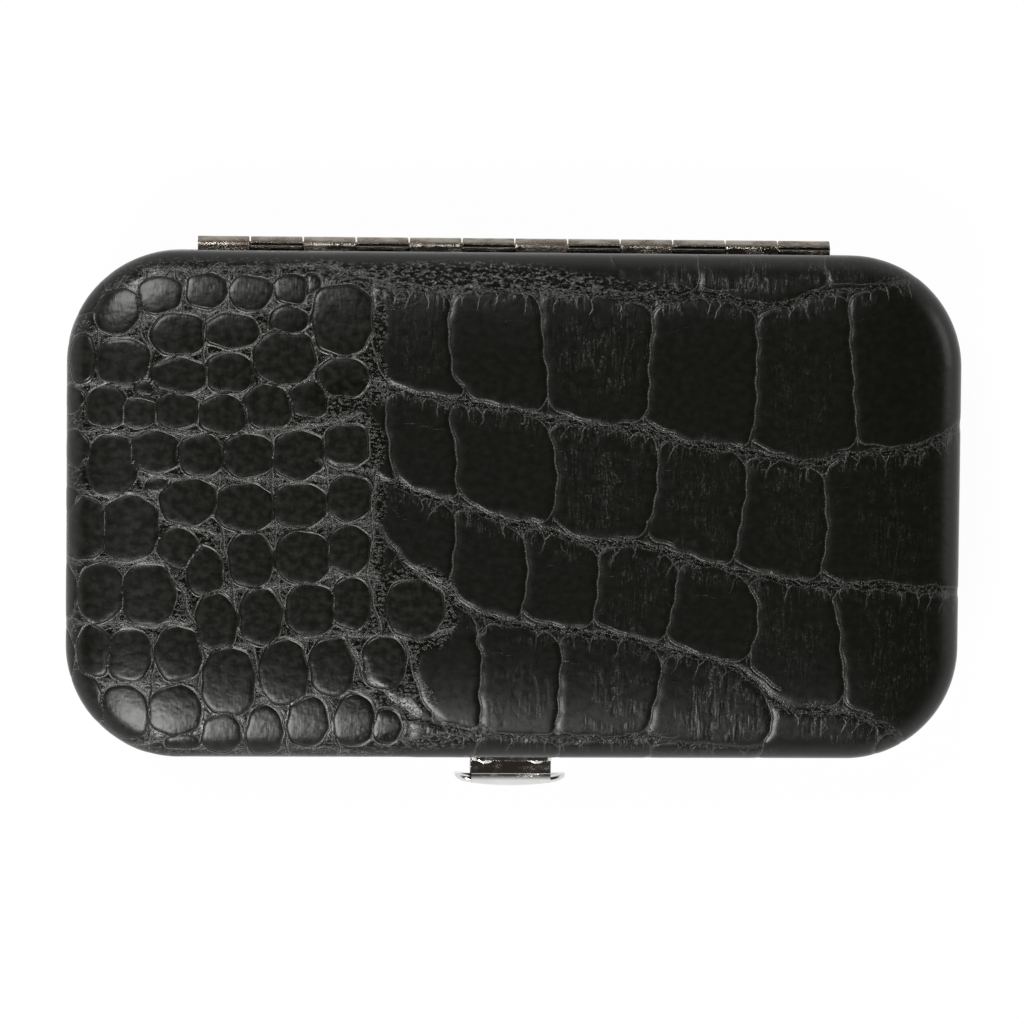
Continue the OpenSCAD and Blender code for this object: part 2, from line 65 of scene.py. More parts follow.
def flatGrid(name, across, deep):  # a grid of faces from -1 to 1, and the places of its points
    clearSelection()
    bpy.ops.mesh.primitive_grid_add(x_subdivisions=across, y_subdivisions=deep, size=2)
    piece = bpy.context.object
    piece.name = name
    places = np.zeros(len(piece.data.vertices) * 3)
    piece.data.vertices.foreach_get("co", places)
    return piece, places.reshape(-1, 3)


def putPoints(piece, x, y, z):  # in mm
    piece.data.vertices.foreach_set("co", (np.stack([x, y, z], 1) * mm).ravel())
    piece.data.update()


# the sheet's border is drawn on step by step, each by a move along y and a scaling about a level, and then filled
def closeBorder(piece, steps):
    edit(piece)
    bpy.ops.mesh.select_mode(type="EDGE")
    bpy.ops.mesh.select_all(action="DESELECT")
    bpy.ops.mesh.select_non_manifold()
    for move, size, level in steps:
        bpy.ops.mesh.extrude_region_move(TRANSFORM_OT_translate={"value": (0, move, 0)})
        if size:
            bpy.ops.transform.resize(value=size, center_override=(0, 0, level))
    bpy.ops.mesh.edge_face_add()
    bpy.ops.mesh.select_all(action="DESELECT")


def modify(piece, kind, **settings):
    pick(piece)
    modifier = piece.modifiers.new(kind.title().replace("_", ""), kind)
    for name, value in settings.items():
        setattr(modifier, name, value)
    bpy.ops.object.modifier_apply(modifier=modifier.name)
    return piece


def smooth(piece, degrees):
    pick(piece)
    bpy.ops.object.shade_smooth_by_angle(angle=math.radians(degrees))
    return piece


def levelled(piece):  # broad faces keep their own normals, so that they mirror without a twist
    return modify(piece, "WEIGHTED_NORMAL", mode="FACE_AREA", weight=100, keep_sharp=True)


def copyOfSolid(node, name):  # a merged, simplified copy of a CAD node, free of its body
    copy = solids[node].copy()
    copy.data = solids[node].data.copy()
    copy.parent = None
    for key in list(copy.keys()):
        del copy[key]
    copy.name = name
    bpy.context.scene.collection.objects.link(copy)
    copy.matrix_world = Matrix.Identity(4)
    copy.data.materials.clear()
    edit(copy)
    if copy.data.has_custom_normals:
        bpy.ops.mesh.customdata_custom_splitnormals_clear()
    bpy.ops.mesh.select_all(action="SELECT")
    bpy.ops.mesh.remove_doubles(threshold=2e-6)
    bpy.ops.mesh.dissolve_limited(angle_limit=math.radians(1.2))
    leave()
    return copy


def bevelled(piece, width, segments):
    return modify(piece, "BEVEL", width=width * mm, segments=segments, limit_method="ANGLE",
                  angle_limit=math.radians(28), use_clamp_overlap=False)


def dress(piece, material):
    piece.data.materials.clear()
    piece.data.materials.append(material)


def finishPiece(piece, body, material, node):
    dress(piece, material)
    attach(piece, body)
    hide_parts(node)
    return piece


def easedCopies(body, material, slot, width, segments, *nodes):  # copies with broken edges, named after their nodes
    for node in nodes:
        first, *others = node.split("_")
        name = first + "".join(word.title() for word in others or ["pair"])
        copy = bevelled(copyOfSolid(node, name), width, segments)
        finishPiece(levelled(smooth(copy, 32)), body, material, node)


class Value:  # a socket that takes part in Python arithmetic
    def __init__(self, recipe, socket):
        self.recipe, self.socket = recipe, socket

    def math(self, operation, *others):
        return self.recipe.node("Math", {"operation": operation}, dict(enumerate((self,) + others)))

    def __rsub__(self, other):
        return self.recipe.node("Math", {"operation": "SUBTRACT"}, {0: other, 1: self})

    def ramp(self, start, end, low=0.0, high=1.0):
        return self.recipe.node("MapRange", {"interpolation_type": "SMOOTHSTEP"},
                                {0: self, 1: start, 2: end, 3: low, 4: high})

    def line(self, width):  # 1 where the value crosses zero, 0 from width away
        return abs(self).ramp(0.0, width, 1.0, 0.0)


def operator(operation):
    return lambda value, *others: value.math(operation, *others)


for sign, operation in {
        "__add__": "ADD", "__radd__": "ADD", "__sub__": "SUBTRACT", "__mul__": "MULTIPLY", "__rmul__": "MULTIPLY",
        "__truediv__": "DIVIDE", "__abs__": "ABSOLUTE", "low": "MINIMUM", "high": "MAXIMUM"}.items():
    setattr(Value, sign, operator(operation))


class Recipe:  # one material, or the world, and its nodes
    def __init__(self, name, owners=bpy.data.materials):
        self.material = owners.new(name)
        self.material.use_nodes = True
        self.tree = self.material.node_tree
        self.tree.nodes.clear()
        self.place = self.node("TexCoord", {}, {}, "Object")

    def node(self, kind, settings, inputs, output=0):
        node = self.tree.nodes.new("ShaderNode" + kind)
        for name, value in settings.items():
            if name == "stops":
                ramp = node.color_ramp
                while len(ramp.elements) < len(value):
                    ramp.elements.new(0.5)
                for element, (position, colour) in zip(ramp.elements, value):
                    element.position, element.color = position, colour
            else:
                setattr(node, name, value)
        for key, value in inputs.items():
            if isinstance(value, Value):
                self.tree.links.new(value.socket, node.inputs[key])
            else:
                node.inputs[key].default_value = value
        return Value(self, node.outputs[output])

    def scaled(self, size, shift=(0, 0, 0), turn=(0, 0, 0)):  # Object coordinates over one size in mm or three
        units = size if isinstance(size, tuple) else (size,) * 3
        return self.node("Mapping", {}, {0: self.place, 1: shift, 2: turn, 3: tuple(1000 / one for one in units)})

    def noise(self, size, detail=2.0, rough=0.5, warp=0.0, **place):
        return self.node("TexNoise", {}, {"Vector": self.scaled(size, **place), "Scale": 1.0, "Detail": detail,
                                          "Roughness": rough, "Distortion": warp})

    def cells(self, vector, feature="DISTANCE_TO_EDGE"):
        return self.node("TexVoronoi", {"feature": feature}, {"Vector": vector, "Scale": 1.0}, "Distance")

    def parts(self, vector):
        return [self.node("SeparateXYZ", {}, {0: vector}, k) for k in range(3)]

    def attribute(self, name):  # the three numbers of a vector attribute
        return self.parts(self.node("Attribute", {"attribute_name": name}, {}, 1))

    def axes(self):  # Object coordinates in mm, one by one
        return self.parts(self.scaled(1))

    def blendColour(self, factor, first, second):
        return self.node("Mix", {"data_type": "RGBA"}, {0: factor, 6: first, 7: second}, 2)

    def bump(self, height, strength=1.0):  # height in mm
        return self.node("Bump", {}, {"Height": height, "Strength": strength, "Distance": mm})

    def finish(self, **sockets):
        names = {k.replace("_", " "): v for k, v in sockets.items()}
        return self.close(self.node("BsdfPrincipled", {}, names))

    def close(self, shader, kind="OutputMaterial"):
        out = self.tree.nodes.new("ShaderNode" + kind)
        self.tree.links.new(shader.socket, out.inputs[0])
        return self.material


# The relief is drawn on a sheet laid over the lid, seen from above with the clasp at the bottom and y downwards.
# Its unit is in mm and its turn in degrees, and past the outline it runs on down the walls.
crocSheet = {
    "unit": 0.1277, "middle": (517.4, 508.1), "turn": 0.41,
    # seams between the rows of large scales: width of the wrinkled band in mm, then its line
    "seams": [
        (1.5, [(318, 262), (360, 276), (410, 290), (480, 290), (560, 291), (620, 296), (660, 303), (700, 294),
              (730, 298), (760, 309), (800, 302), (830, 289), (860, 291), (915, 276), (945, 262), (990, 235)]),
        (1.5, [(366, 381), (405, 392), (450, 400), (500, 408), (560, 420), (600, 427), (643, 429), (666, 438),
              (712, 448), (751, 451), (792, 463), (820, 464), (850, 453), (895, 453), (930, 447), (953, 434),
              (1010, 415)]),
        (1.4, [(318, 462), (340, 467), (365, 472), (397, 486), (426, 494), (464, 507), (499, 520), (531, 525),
              (566, 538), (608, 545), (643, 542), (689, 561), (732, 570), (781, 581), (822, 586), (861, 586),
              (907, 590), (950, 592), (1010, 600)]),
        (1.3, [(376, 526), (390, 545), (407, 566), (436, 584), (455, 600), (474, 614), (512, 624), (560, 630),
              (600, 635), (640, 641), (666, 649), (712, 662), (744, 671), (769, 695), (790, 710), (820, 713),
              (850, 715), (884, 728), (905, 742), (930, 775)]),
        (1.2, [(340, 628), (359, 662), (374, 687), (403, 710), (428, 722), (474, 737), (512, 742), (560, 745),
              (610, 745), (645, 743), (680, 750), (720, 754), (765, 755)]),
    ],
    # walls between the large scales of a row
    "walls": [
        [(699, 205), (699, 262), (700, 294)], [(825, 205), (826, 255), (830, 288)],
        [(612, 205), (610, 250), (618, 272)], [(905, 210), (893, 240), (884, 262)],
        [(371, 283), (373, 320), (372, 350), (384, 377), (400, 392)],
        [(452, 296), (449, 320), (449, 352), (455, 380), (470, 396)],
        [(540, 294), (541, 330), (547, 370), (548, 408)], [(654, 304), (650, 340), (649, 400), (642, 424)],
        [(757, 311), (757, 360), (757, 400), (751, 446)], [(849, 292), (851, 340), (856, 400), (858, 447)],
        [(384, 396), (387, 417), (388, 445), (394, 473), (404, 484)],
        [(446, 404), (450, 423), (457, 446), (455, 480), (462, 502)],
        [(545, 424), (556, 452), (557, 486), (552, 522)], [(650, 446), (660, 460), (657, 496), (644, 538)],
        [(745, 458), (748, 492), (741, 530), (732, 567)], [(824, 472), (829, 515), (827, 550), (822, 582)],
        [(450, 505), (457, 528), (455, 553), (449, 584), (446, 592)],
        [(516, 532), (529, 553), (527, 580), (521, 620)], [(598, 549), (600, 566), (597, 595), (593, 628)],
        [(679, 562), (677, 585), (673, 614), (666, 644)], [(744, 578), (760, 603), (760, 628), (749, 662)],
        [(833, 594), (838, 612), (844, 649), (848, 706)], [(474, 630), (483, 662), (480, 702), (482, 734)],
        [(556, 634), (563, 653), (560, 695), (556, 740)], [(662, 656), (661, 680), (657, 706), (647, 740)],
        [(768, 702), (777, 725), (766, 752), (762, 800)], [(880, 745), (884, 770), (880, 800)],
        [(560, 750), (560, 800)], [(655, 750), (650, 800)], [(478, 745), (470, 800)],
        [(391, 600), (403, 641), (413, 664), (417, 690), (430, 712), (441, 724)],
    ],
    # walls down the sides of the case: first point, step to the next, run, count
    "sideWalls": [
        ((432, 772), (63, 0), (3, 40), 8), ((440, 236), (66, 0), (2, -40), 8),
        ((978, 322), (0, 57), (44, 4), 7),
    ],
    # creases that wander down between the small scales
    "creases": [
        [(135, 473), (156, 500), (160, 515), (156, 534), (163, 563), (182, 589), (190, 612), (205, 647),
         (205, 664), (194, 683), (205, 699), (232, 714), (244, 729), (250, 760), (252, 800)],
        [(219, 476), (217, 507), (223, 538), (230, 568), (234, 597), (240, 630), (253, 651), (259, 672),
         (261, 691), (278, 712), (286, 733), (288, 760), (286, 800)],
        [(272, 436), (272, 480), (276, 522), (276, 559), (280, 599), (288, 616), (303, 637), (307, 664),
         (322, 695), (334, 714), (340, 760), (344, 800)],
        [(324, 457), (330, 507), (332, 549), (335, 599), (339, 622), (351, 647), (362, 676)],
        [(376, 470), (370, 500), (372, 540), (366, 574), (372, 600), (380, 628)],
        [(330, 300), (326, 330), (330, 360), (345, 385)], [(268, 330), (262, 352), (262, 384)],
        [(206, 322), (204, 350), (208, 378)], [(150, 300), (140, 330), (152, 355), (150, 382)],
        [(96, 330), (100, 352), (98, 380), (90, 408)], [(205, 395), (202, 415), (205, 436)],
        [(247, 395), (246, 415), (250, 436)], [(160, 398), (160, 415), (162, 434)],
        [(108, 505), (108, 530), (112, 556)], [(124, 568), (122, 592), (116, 620)],
        [(108, 640), (112, 660), (118, 684)], [(152, 640), (156, 660), (150, 690), (150, 730), (146, 760)],
        [(200, 640), (206, 655), (214, 664)], [(128, 330), (140, 312), (139, 292), (150, 272), (144, 240)],
        [(184, 316), (184, 292), (176, 270), (188, 240)], [(232, 312), (230, 290), (239, 268), (231, 240)],
        [(278, 312), (273, 290), (283, 266), (277, 240)], [(150, 286), (170, 270), (190, 256), (200, 240)],
        [(202, 272), (222, 262), (240, 256), (262, 240)], [(100, 300), (122, 282), (136, 262), (150, 246)],
        [(246, 274), (262, 264), (290, 256), (316, 246)], [(328, 290), (340, 270), (352, 262), (372, 240)],
        [(196, 276), (182, 262), (160, 254), (136, 240)],
    ],
    # creases that run across between the small scales
    "rows": [
        [(20, 330), (66, 338), (100, 334), (150, 318), (206, 312), (268, 312), (318, 300)],
        [(20, 384), (66, 386), (100, 384), (150, 384), (206, 396), (262, 390), (318, 384), (366, 384)],
        [(20, 428), (66, 432), (120, 433), (200, 434), (276, 431), (320, 425), (360, 414)],
        [(20, 486), (66, 492), (110, 494), (157, 494)],
        [(142, 477), (200, 478), (260, 480), (318, 478), (350, 474)],
        [(160, 518), (194, 524), (223, 538), (246, 531), (268, 526), (320, 525), (358, 522), (376, 524)],
        [(20, 566), (68, 560), (120, 561), (178, 560)],
        [(206, 592), (250, 587), (300, 586), (325, 574), (352, 572), (380, 576)],
        [(20, 622), (68, 622), (120, 624), (187, 622)],
        [(240, 646), (290, 640), (340, 634), (390, 637), (426, 637), (447, 628), (474, 632), (500, 626)],
        [(20, 684), (80, 682), (140, 682), (192, 678)], [(262, 700), (290, 700), (320, 696), (374, 690)],
        [(66, 752), (120, 748), (160, 742), (220, 756), (300, 752), (350, 756)],
        [(20, 276), (100, 268), (160, 268), (220, 266), (276, 262), (318, 262)],
    ],
    # small scales: middle and half sizes
    "scales": [
        (117, 310, 20, 20), (161, 293, 19, 17), (208, 289, 17, 16), (252, 292, 18, 16), (292, 288, 14, 14),
        (314, 281, 7, 10), (180, 335, 23, 17), (232, 332, 23, 14), (290, 321, 16, 11), (343, 320, 25, 30),
        (81, 358, 10, 20), (124, 362, 23, 19), (181, 376, 24, 14), (230, 373, 20, 16), (285, 358, 26, 22),
        (343, 378, 22, 16), (106, 407, 19, 17), (142, 413, 16, 12), (179, 411, 19, 14), (224, 415, 21, 16),
        (268, 407, 20, 18), (309, 400, 16, 15), (146, 388, 8, 5), (74, 448, 8, 14), (111, 465, 22, 25),
        (156, 452, 21, 17), (202, 455, 19, 17), (249, 455, 21, 18), (299, 455, 22, 20), (347, 446, 19, 18),
        (85, 528, 17, 25), (131, 528, 24, 27), (190, 501, 24, 19), (246, 507, 25, 20), (300, 505, 23, 18),
        (350, 498, 18, 19), (158, 484, 9, 5), (180, 547, 17, 16), (205, 570, 15, 20), (251, 559, 18, 23),
        (303, 557, 23, 22), (349, 549, 18, 20), (99, 592, 21, 24), (149, 594, 22, 25), (217, 621, 17, 24),
        (261, 616, 17, 24), (311, 609, 21, 22), (351, 603, 16, 22), (92, 651, 16, 22), (130, 655, 18, 22),
        (179, 653, 19, 22), (229, 681, 22, 29), (284, 672, 20, 27), (332, 666, 18, 24), (124, 714, 21, 24),
        (176, 712, 22, 23), (222, 737, 16, 18), (265, 735, 15, 22), (308, 725, 17, 23), (355, 724, 17, 24),
        (182, 747, 14, 6), (415, 609, 24, 24), (384, 662, 18, 22), (387, 731, 12, 17), (86, 296, 14, 14),
        (72, 400, 6, 10), (60, 324, 14, 18), (84, 700, 12, 20), (64, 592, 10, 22), (62, 655, 10, 20),
        (68, 500, 8, 10),
    ],
    # rows of small scales down the walls of the small-scale end: first middle, step to the next, half sizes, count
    "wallScales": [
        ((40, 300), (0, 46), (19, 20), 10), ((34, 262), (40, -26), (17, 17), 2),
        ((96, 226), (45, 0), (19, 18), 6), ((40, 730), (38, 30), (18, 18), 2),
        ((108, 784), (46, 0), (20, 17), 7),
    ],
    # patches of crossing wrinkles and of fine upright wrinkles: middle, half sizes, strength
    "netting": [
        (455, 274, 120, 20, 1.0), (385, 296, 34, 14, 0.5), (560, 283, 60, 16, 0.9), (330, 268, 60, 14, 0.7),
        (640, 288, 50, 10, 0.6), (200, 262, 160, 10, 0.45), (350, 395, 40, 14, 0.6), (395, 700, 40, 22, 0.6),
        (420, 745, 60, 14, 0.7),
    ],
    "hair": [
        (724, 715, 46, 42, 0.9), (755, 272, 110, 22, 1.0), (880, 262, 70, 16, 0.5), (600, 350, 46, 50, 0.55),
        (610, 702, 45, 36, 0.75), (520, 700, 34, 38, 0.5), (600, 480, 44, 60, 0.45), (700, 500, 40, 60, 0.3),
        (800, 505, 36, 60, 0.3), (790, 640, 40, 50, 0.3), (900, 520, 40, 60, 0.25), (900, 660, 40, 60, 0.35),
        (640, 600, 40, 40, 0.3), (420, 340, 36, 40, 0.3), (800, 380, 40, 60, 0.2), (860, 735, 60, 20, 0.6),
        (600, 790, 330, 34, 0.5), (640, 215, 330, 34, 0.5), (990, 500, 30, 260, 0.35),
    ],
}

# mm; smallEnd is how far past the small scales their ground fades, plainFoot and plainRear where the relief does:
# above the mouth's rounding, and down the turned-in rear edge
skinShape = {
    "length": 115.0, "width": 65.0, "corner": 14.5, "edge": 5.0, "height": 22.0,
    "mouth": 10.9, "rim": 0.7, "thickness": 1.0,  # how far down the mouth is, its rounding, the cloth
    "notch": (41.7, 9.4),  # half the length of the hinge's notch, and its edge's distance
    "crown": 0.95, "soft": 14.0,  # how far and over what width the soft top falls away
    "step": 0.34, "wallStep": 0.52, "rimStep": 0.3,  # the size of a face on the top, the walls and the mouth
    "seamDepth": 0.17, "wallDepth": 0.1, "scaleDepth": 0.09, "domeDepth": 0.03, "deepest": 0.26,
    "seamSpread": 0.55, "wallSpread": 0.4,  # a seam's sides by its width, a wall's in mm
    "oval": 2.3, "ovalSize": 0.605, "apart": 0.26,  # the small scales' outline and size, and the groove they keep
    "inner": (0.95, 0.92, 0), "innerDeep": 0.45,  # how the cloth's unseen inside draws in, and its depth
    "reach": 4.0,  # how far the distances to the lines are known
    "smallEnd": (1.1, 2.3), "plainFoot": (1.0, 0.2), "plainRear": (4.0, 6.0),
}
straightX = skinShape["length"] / 2 - skinShape["corner"]
straightY = skinShape["width"] / 2 - skinShape["corner"]
flat = skinShape["corner"] - skinShape["edge"]  # how far the skin stays flat past the straight part
edgeArc, rimArc = skinShape["edge"] * math.pi / 2, skinShape["rim"] * math.pi / 2
wallHeight = skinShape["mouth"] - skinShape["rim"] - skinShape["edge"]
wallFoot = flat + edgeArc + wallHeight  # where the mouth's rounding starts on the skin laid flat

foamShape = {  # the drop of its edge, its gap under the skin, the relief's share in it, its depths and waves, in mm
    "faces": (96, 56), "drop": 0.88, "gap": 0.08, "underRelief": 0.6, "lowest": 1.92, "wave": 0.035, "floor": 2.0,
}


def unrolled(points):  # sheet points to mm on the skin laid flat, with the soft edge stretched out
    p = np.array(points, float).reshape(-1, 2)
    dx = (p[:, 0] - crocSheet["middle"][0]) * crocSheet["unit"]
    dy = (crocSheet["middle"][1] - p[:, 1]) * crocSheet["unit"]
    turn = math.radians(crocSheet["turn"])
    x, y = dx * math.cos(turn) - dy * math.sin(turn), dy * math.cos(turn) + dx * math.sin(turn)
    vx = np.sign(x) * np.maximum(np.abs(x) - straightX, 0)
    vy = np.sign(y) * np.maximum(np.abs(y) - straightY, 0)
    reach, edge = np.hypot(vx, vy), skinShape["edge"]
    bent = flat + edge * np.arcsin(np.clip((reach - flat) / edge, 0, 1))
    bent = bent + np.maximum(reach - skinShape["corner"], 0)
    share = np.where(reach > flat, bent / np.maximum(reach, 1e-6), 1.0)
    return np.stack([x - vx + vx * share, y - vy + vy * share], 1)


def rounded(p):  # a polyline with its corners cut twice
    for _ in range(2):
        a, b = p[:-1], p[1:]
        mid = np.stack([a * 0.75 + b * 0.25, a * 0.25 + b * 0.75], 1).reshape(-1, 2)
        p = np.vstack([p[:1], mid, p[-1:]])
    return p


# for each place: signed and plain distance to the nearest line, its number, how far along it, how long it is
def lineField(place, lines):
    reach = skinShape["reach"]
    signed = np.full(len(place), reach)
    plain = np.full(len(place), reach)
    which = np.zeros(len(place), int)
    along, length = np.zeros(len(place)), np.full(len(place), 1e6)
    for number, line in enumerate(lines):
        low, high = line.min(0) - reach, line.max(0) + reach
        near = np.nonzero(((place > low) & (place < high)).all(1))[0]
        if not len(near):
            continue
        p = place[near]
        best, side, far = np.full(len(near), reach), np.full(len(near), reach), np.zeros(len(near))
        run = 0.0
        for a, b in zip(line[:-1], line[1:]):
            d = b - a
            size = math.hypot(*d)
            if size < 1e-6:
                continue
            t = np.clip(((p - a) @ d) / size ** 2, 0, 1)
            v = p - a - t[:, None] * d
            distance = np.hypot(v[:, 0], v[:, 1])
            closer = distance < best
            best = np.where(closer, distance, best)
            side = np.where(closer, np.where(d[0] * v[:, 1] - d[1] * v[:, 0] >= 0, distance, -distance), side)
            far = np.where(closer, run + t * size, far)
            run += size
        closer = best < plain[near]
        plain[near] = np.where(closer, best, plain[near])
        signed[near] = np.where(closer, side, signed[near])
        which[near] = np.where(closer, number, which[near])
        along[near], length[near] = np.where(closer, far, along[near]), np.where(closer, run, length[near])
    return signed, plain, which, along, length


def stepped(value, low, high):
    t = np.clip((value - low) / (high - low), 0, 1)
    return t * t * (3 - 2 * t)


def nearestRun(point, lines):  # the nearest point of the lines and the way they run there
    best = None
    for line in lines:
        for a, b in zip(line[:-1], line[1:]):
            d = b - a
            size = max(math.hypot(*d), 1e-6)
            t = min(max(((point - a) @ d) / size ** 2, 0), 1)
            gap = math.hypot(*(point - a - t * d))
            if best is None or gap < best[0]:
                best = (gap, a + t * d, d / size)
    return best


# mm: the seams that a wall's end reaches, the arms' lengths, where they leave the wall, how near the seam they end
forkShape = {"near": 2.5, "long": 4.6, "short": 2.3, "from": 1.7, "end": 0.45, "bow": 0.55, "aside": 0.1}


def forks(lines, seams):  # where a wall meets a seam, the edges of its two scales curve off along the seam
    f, arms = forkShape, []
    for number, line in enumerate(lines):
        for end, inward in ((0, 1), (-1, -2)):
            tip, before = line[end], line[inward]
            gap, foot, way = nearestRun(tip, seams)
            if gap > f["near"]:
                continue
            run = (tip - before) / max(math.hypot(*(tip - before)), 1e-6)
            way = way if way[0] >= 0 else -way
            for hand in (1, -1):  # the long arm sweeps off to the right under a scale
                reach = f["long"] if hand > 0 and run[1] < 0 else f["short"]
                reach = reach * (1 + 0.2 * math.sin(number * 2.3 + hand + end))
                start, last = tip - run * f["from"], foot + way * hand * reach - run * f["end"]
                bow = foot - run * f["bow"] + way * hand * f["aside"]
                t = np.linspace(0, 1, 11)[:, None]
                arms.append((1 - t) ** 2 * start + 2 * t * (1 - t) * bow + t ** 2 * last)
    return arms


def sheetLines():
    c = crocSheet
    walls, creases, rows = ([rounded(unrolled(line)) for line in c[kind]] for kind in ("walls", "creases", "rows"))
    for (x, y), (dx, dy), (rx, ry), count in c["sideWalls"]:
        for k in range(count):
            px, py = x + dx * (k + 0.2 * math.sin(5 * k + x)), y + dy * (k + 0.2 * math.sin(3 * k + y))
            walls.append(unrolled([(px + rx * t, py + ry * t) for t in (0, 0.35, 0.7, 1)]))
    scales = list(c["scales"])
    for (x, y), (dx, dy), (rx, ry), count in c["wallScales"]:
        for k in range(count):
            size = rx * (1 + 0.1 * math.sin(3 * k + x)), ry * (1 + 0.1 * math.cos(5 * k + y))
            scales.append((x + dx * k, y + dy * k, *size))
    ovals = []
    for x, y, rx, ry in scales:
        ends = unrolled([(x - rx, y), (x + rx, y), (x, y - ry), (x, y + ry)])
        size = np.array([abs(ends[1, 0] - ends[0, 0]), abs(ends[3, 1] - ends[2, 1])]) * skinShape["ovalSize"]
        ovals.append((*ends.mean(0), *size))
    seams = [rounded(unrolled(line)) for _, line in c["seams"]]
    return {
        "seams": seams, "seamWidths": np.array([w for w, _ in c["seams"]]),
        "walls": walls, "forks": forks(walls, seams), "creases": creases, "rows": rows, "scales": ovals,
    }


def patchField(place, patches):
    total = np.zeros(len(place))
    for x, y, rx, ry, strength in patches:
        middle = unrolled([(x, y)])[0]
        x, y = ((place - middle) / (rx * crocSheet["unit"], ry * crocSheet["unit"])).T
        d = np.hypot(x, y)
        total = np.maximum(total, strength * (1 - stepped(d, 0.7, 1.25)))
    return total


def wobble(place):  # slow waves that keep any drawn line from being straight
    x, y = place.T
    return place + 0.096 * np.stack([np.sin(1.9 * y + 0.7 * x) + np.sin(0.83 * y - 1.3 * x + 2),
                                     np.sin(1.7 * x - 0.6 * y + 1) + np.sin(0.9 * x + 1.1 * y + 4)], 1)


# how far the soft top sinks: by the distance from the edge's rounding, then by the angle round it
def fallAway(inside, bend):
    t = np.clip(bend / (math.pi / 2), 0, 1)
    slope = skinShape["edge"] * math.pi / 2 * 3 / skinShape["soft"]
    turn = 2 * t ** 3 - 3 * t ** 2 + 1 + (t ** 3 - 2 * t ** 2 + t) * slope
    return skinShape["crown"] * np.where(bend > 0, turn, (1 - np.clip(inside / skinShape["soft"], 0, 1)) ** 3)


# a grid's lines bent round the corners of a middle part: the place on that part, the way out and how far out
def concentric(gx, gy, cx=straightX, cy=straightY):
    ax, ay = np.maximum(np.abs(gx) - cx, 0), np.maximum(np.abs(gy) - cy, 0)
    reach = np.maximum(ax, ay)
    angle = np.where(ax >= ay, math.pi / 4 * ay / np.maximum(ax, 1e-9),
                     math.pi / 2 - math.pi / 4 * ax / np.maximum(ay, 1e-9))
    away = np.stack([np.sign(gx) * np.cos(angle), np.sign(gy) * np.sin(angle)], 1)
    away[reach == 0] = 0
    return np.stack([np.clip(gx, -cx, cx), np.clip(gy, -cy, cy)], 1), away, reach


def insideBy(gx, gy, reach):  # how far a place lies inside the rounding of the edge
    return np.where(reach > 0, flat - reach, flat + np.minimum(straightX - np.abs(gx), straightY - np.abs(gy)))


def levelAt(down, upper):  # a depth below the outer face, as a height over the floor
    return skinShape["height"] - down if upper else down


def foamPad(body, material):  # a thin sheet of foam under the flat of the skin
    upper = body == "lid"
    s, f = skinShape, foamShape
    edge = s["edge"] - s["thickness"]
    far = flat + edge * math.sin(math.acos(1 - f["drop"] / edge))
    piece, co = flatGrid(body + "Foam", *f["faces"])
    gx, gy = co[:, 0] * (straightX + far), co[:, 1] * (straightY + far) * (1 if upper else -1)
    centre, away, reach = concentric(gx, gy)
    x, y = (centre + away * reach[:, None]).T
    bend = np.arcsin(np.clip((reach - flat) / edge, 0, 1))
    soft = f["wave"] * (np.sin(0.41 * x + 0.2 * y) * np.sin(0.37 * y - 0.11 * x) - 1)
    down = s["thickness"] + edge * (1 - np.cos(bend)) + fallAway(insideBy(gx, gy, reach), bend)
    down = np.minimum(down + s["deepest"] * f["underRelief"] + f["gap"] - soft, f["lowest"])
    putPoints(piece, x, y, levelAt(down, upper))
    closeBorder(piece, [(0, (1, 1, 0), levelAt(f["floor"], upper) * mm)])
    leave()
    smooth(piece, 50)
    finishPiece(piece, body, material, body + "_padding")


def gridSpread():  # the columns and lines of the skin's grid, in mm from the middle of the skin laid flat
    s, ring, start = skinShape, [], 0.0
    for size, step in ((flat, s["step"]), (edgeArc, s["step"]), (wallHeight, s["wallStep"]),
                       (rimArc, s["rimStep"]), (s["thickness"] - s["rim"], s["rimStep"])):
        count = max(1, round(size / step))  # even steps inside each stretch
        ring += [start + size * (k + 1) / count for k in range(count)]
        start += size
    spread = []
    for half in (straightX, straightY):
        inner = np.linspace(-half, half, round(2 * half / s["step"]) + 1)
        spread.append(np.concatenate([[-half - r for r in reversed(ring)], inner, [half + r for r in ring]]))
    return spread


def scaleField(sheet, scales):  # the distance to the nearest small scale's outline, below 0 inside it
    s = skinShape
    nearest = second = np.full(len(sheet), s["reach"])
    for x, y, rx, ry in scales:
        across, along = np.abs((sheet - (x, y)) / (rx, ry)).T ** s["oval"]
        d = ((across + along) ** (1 / s["oval"]) - 1) * min(rx, ry)
        second = np.minimum(second, np.maximum(nearest, d))
        nearest = np.minimum(nearest, d)
    return np.maximum(nearest, s["apart"] - (second - nearest))  # neighbours that would touch stay a groove apart


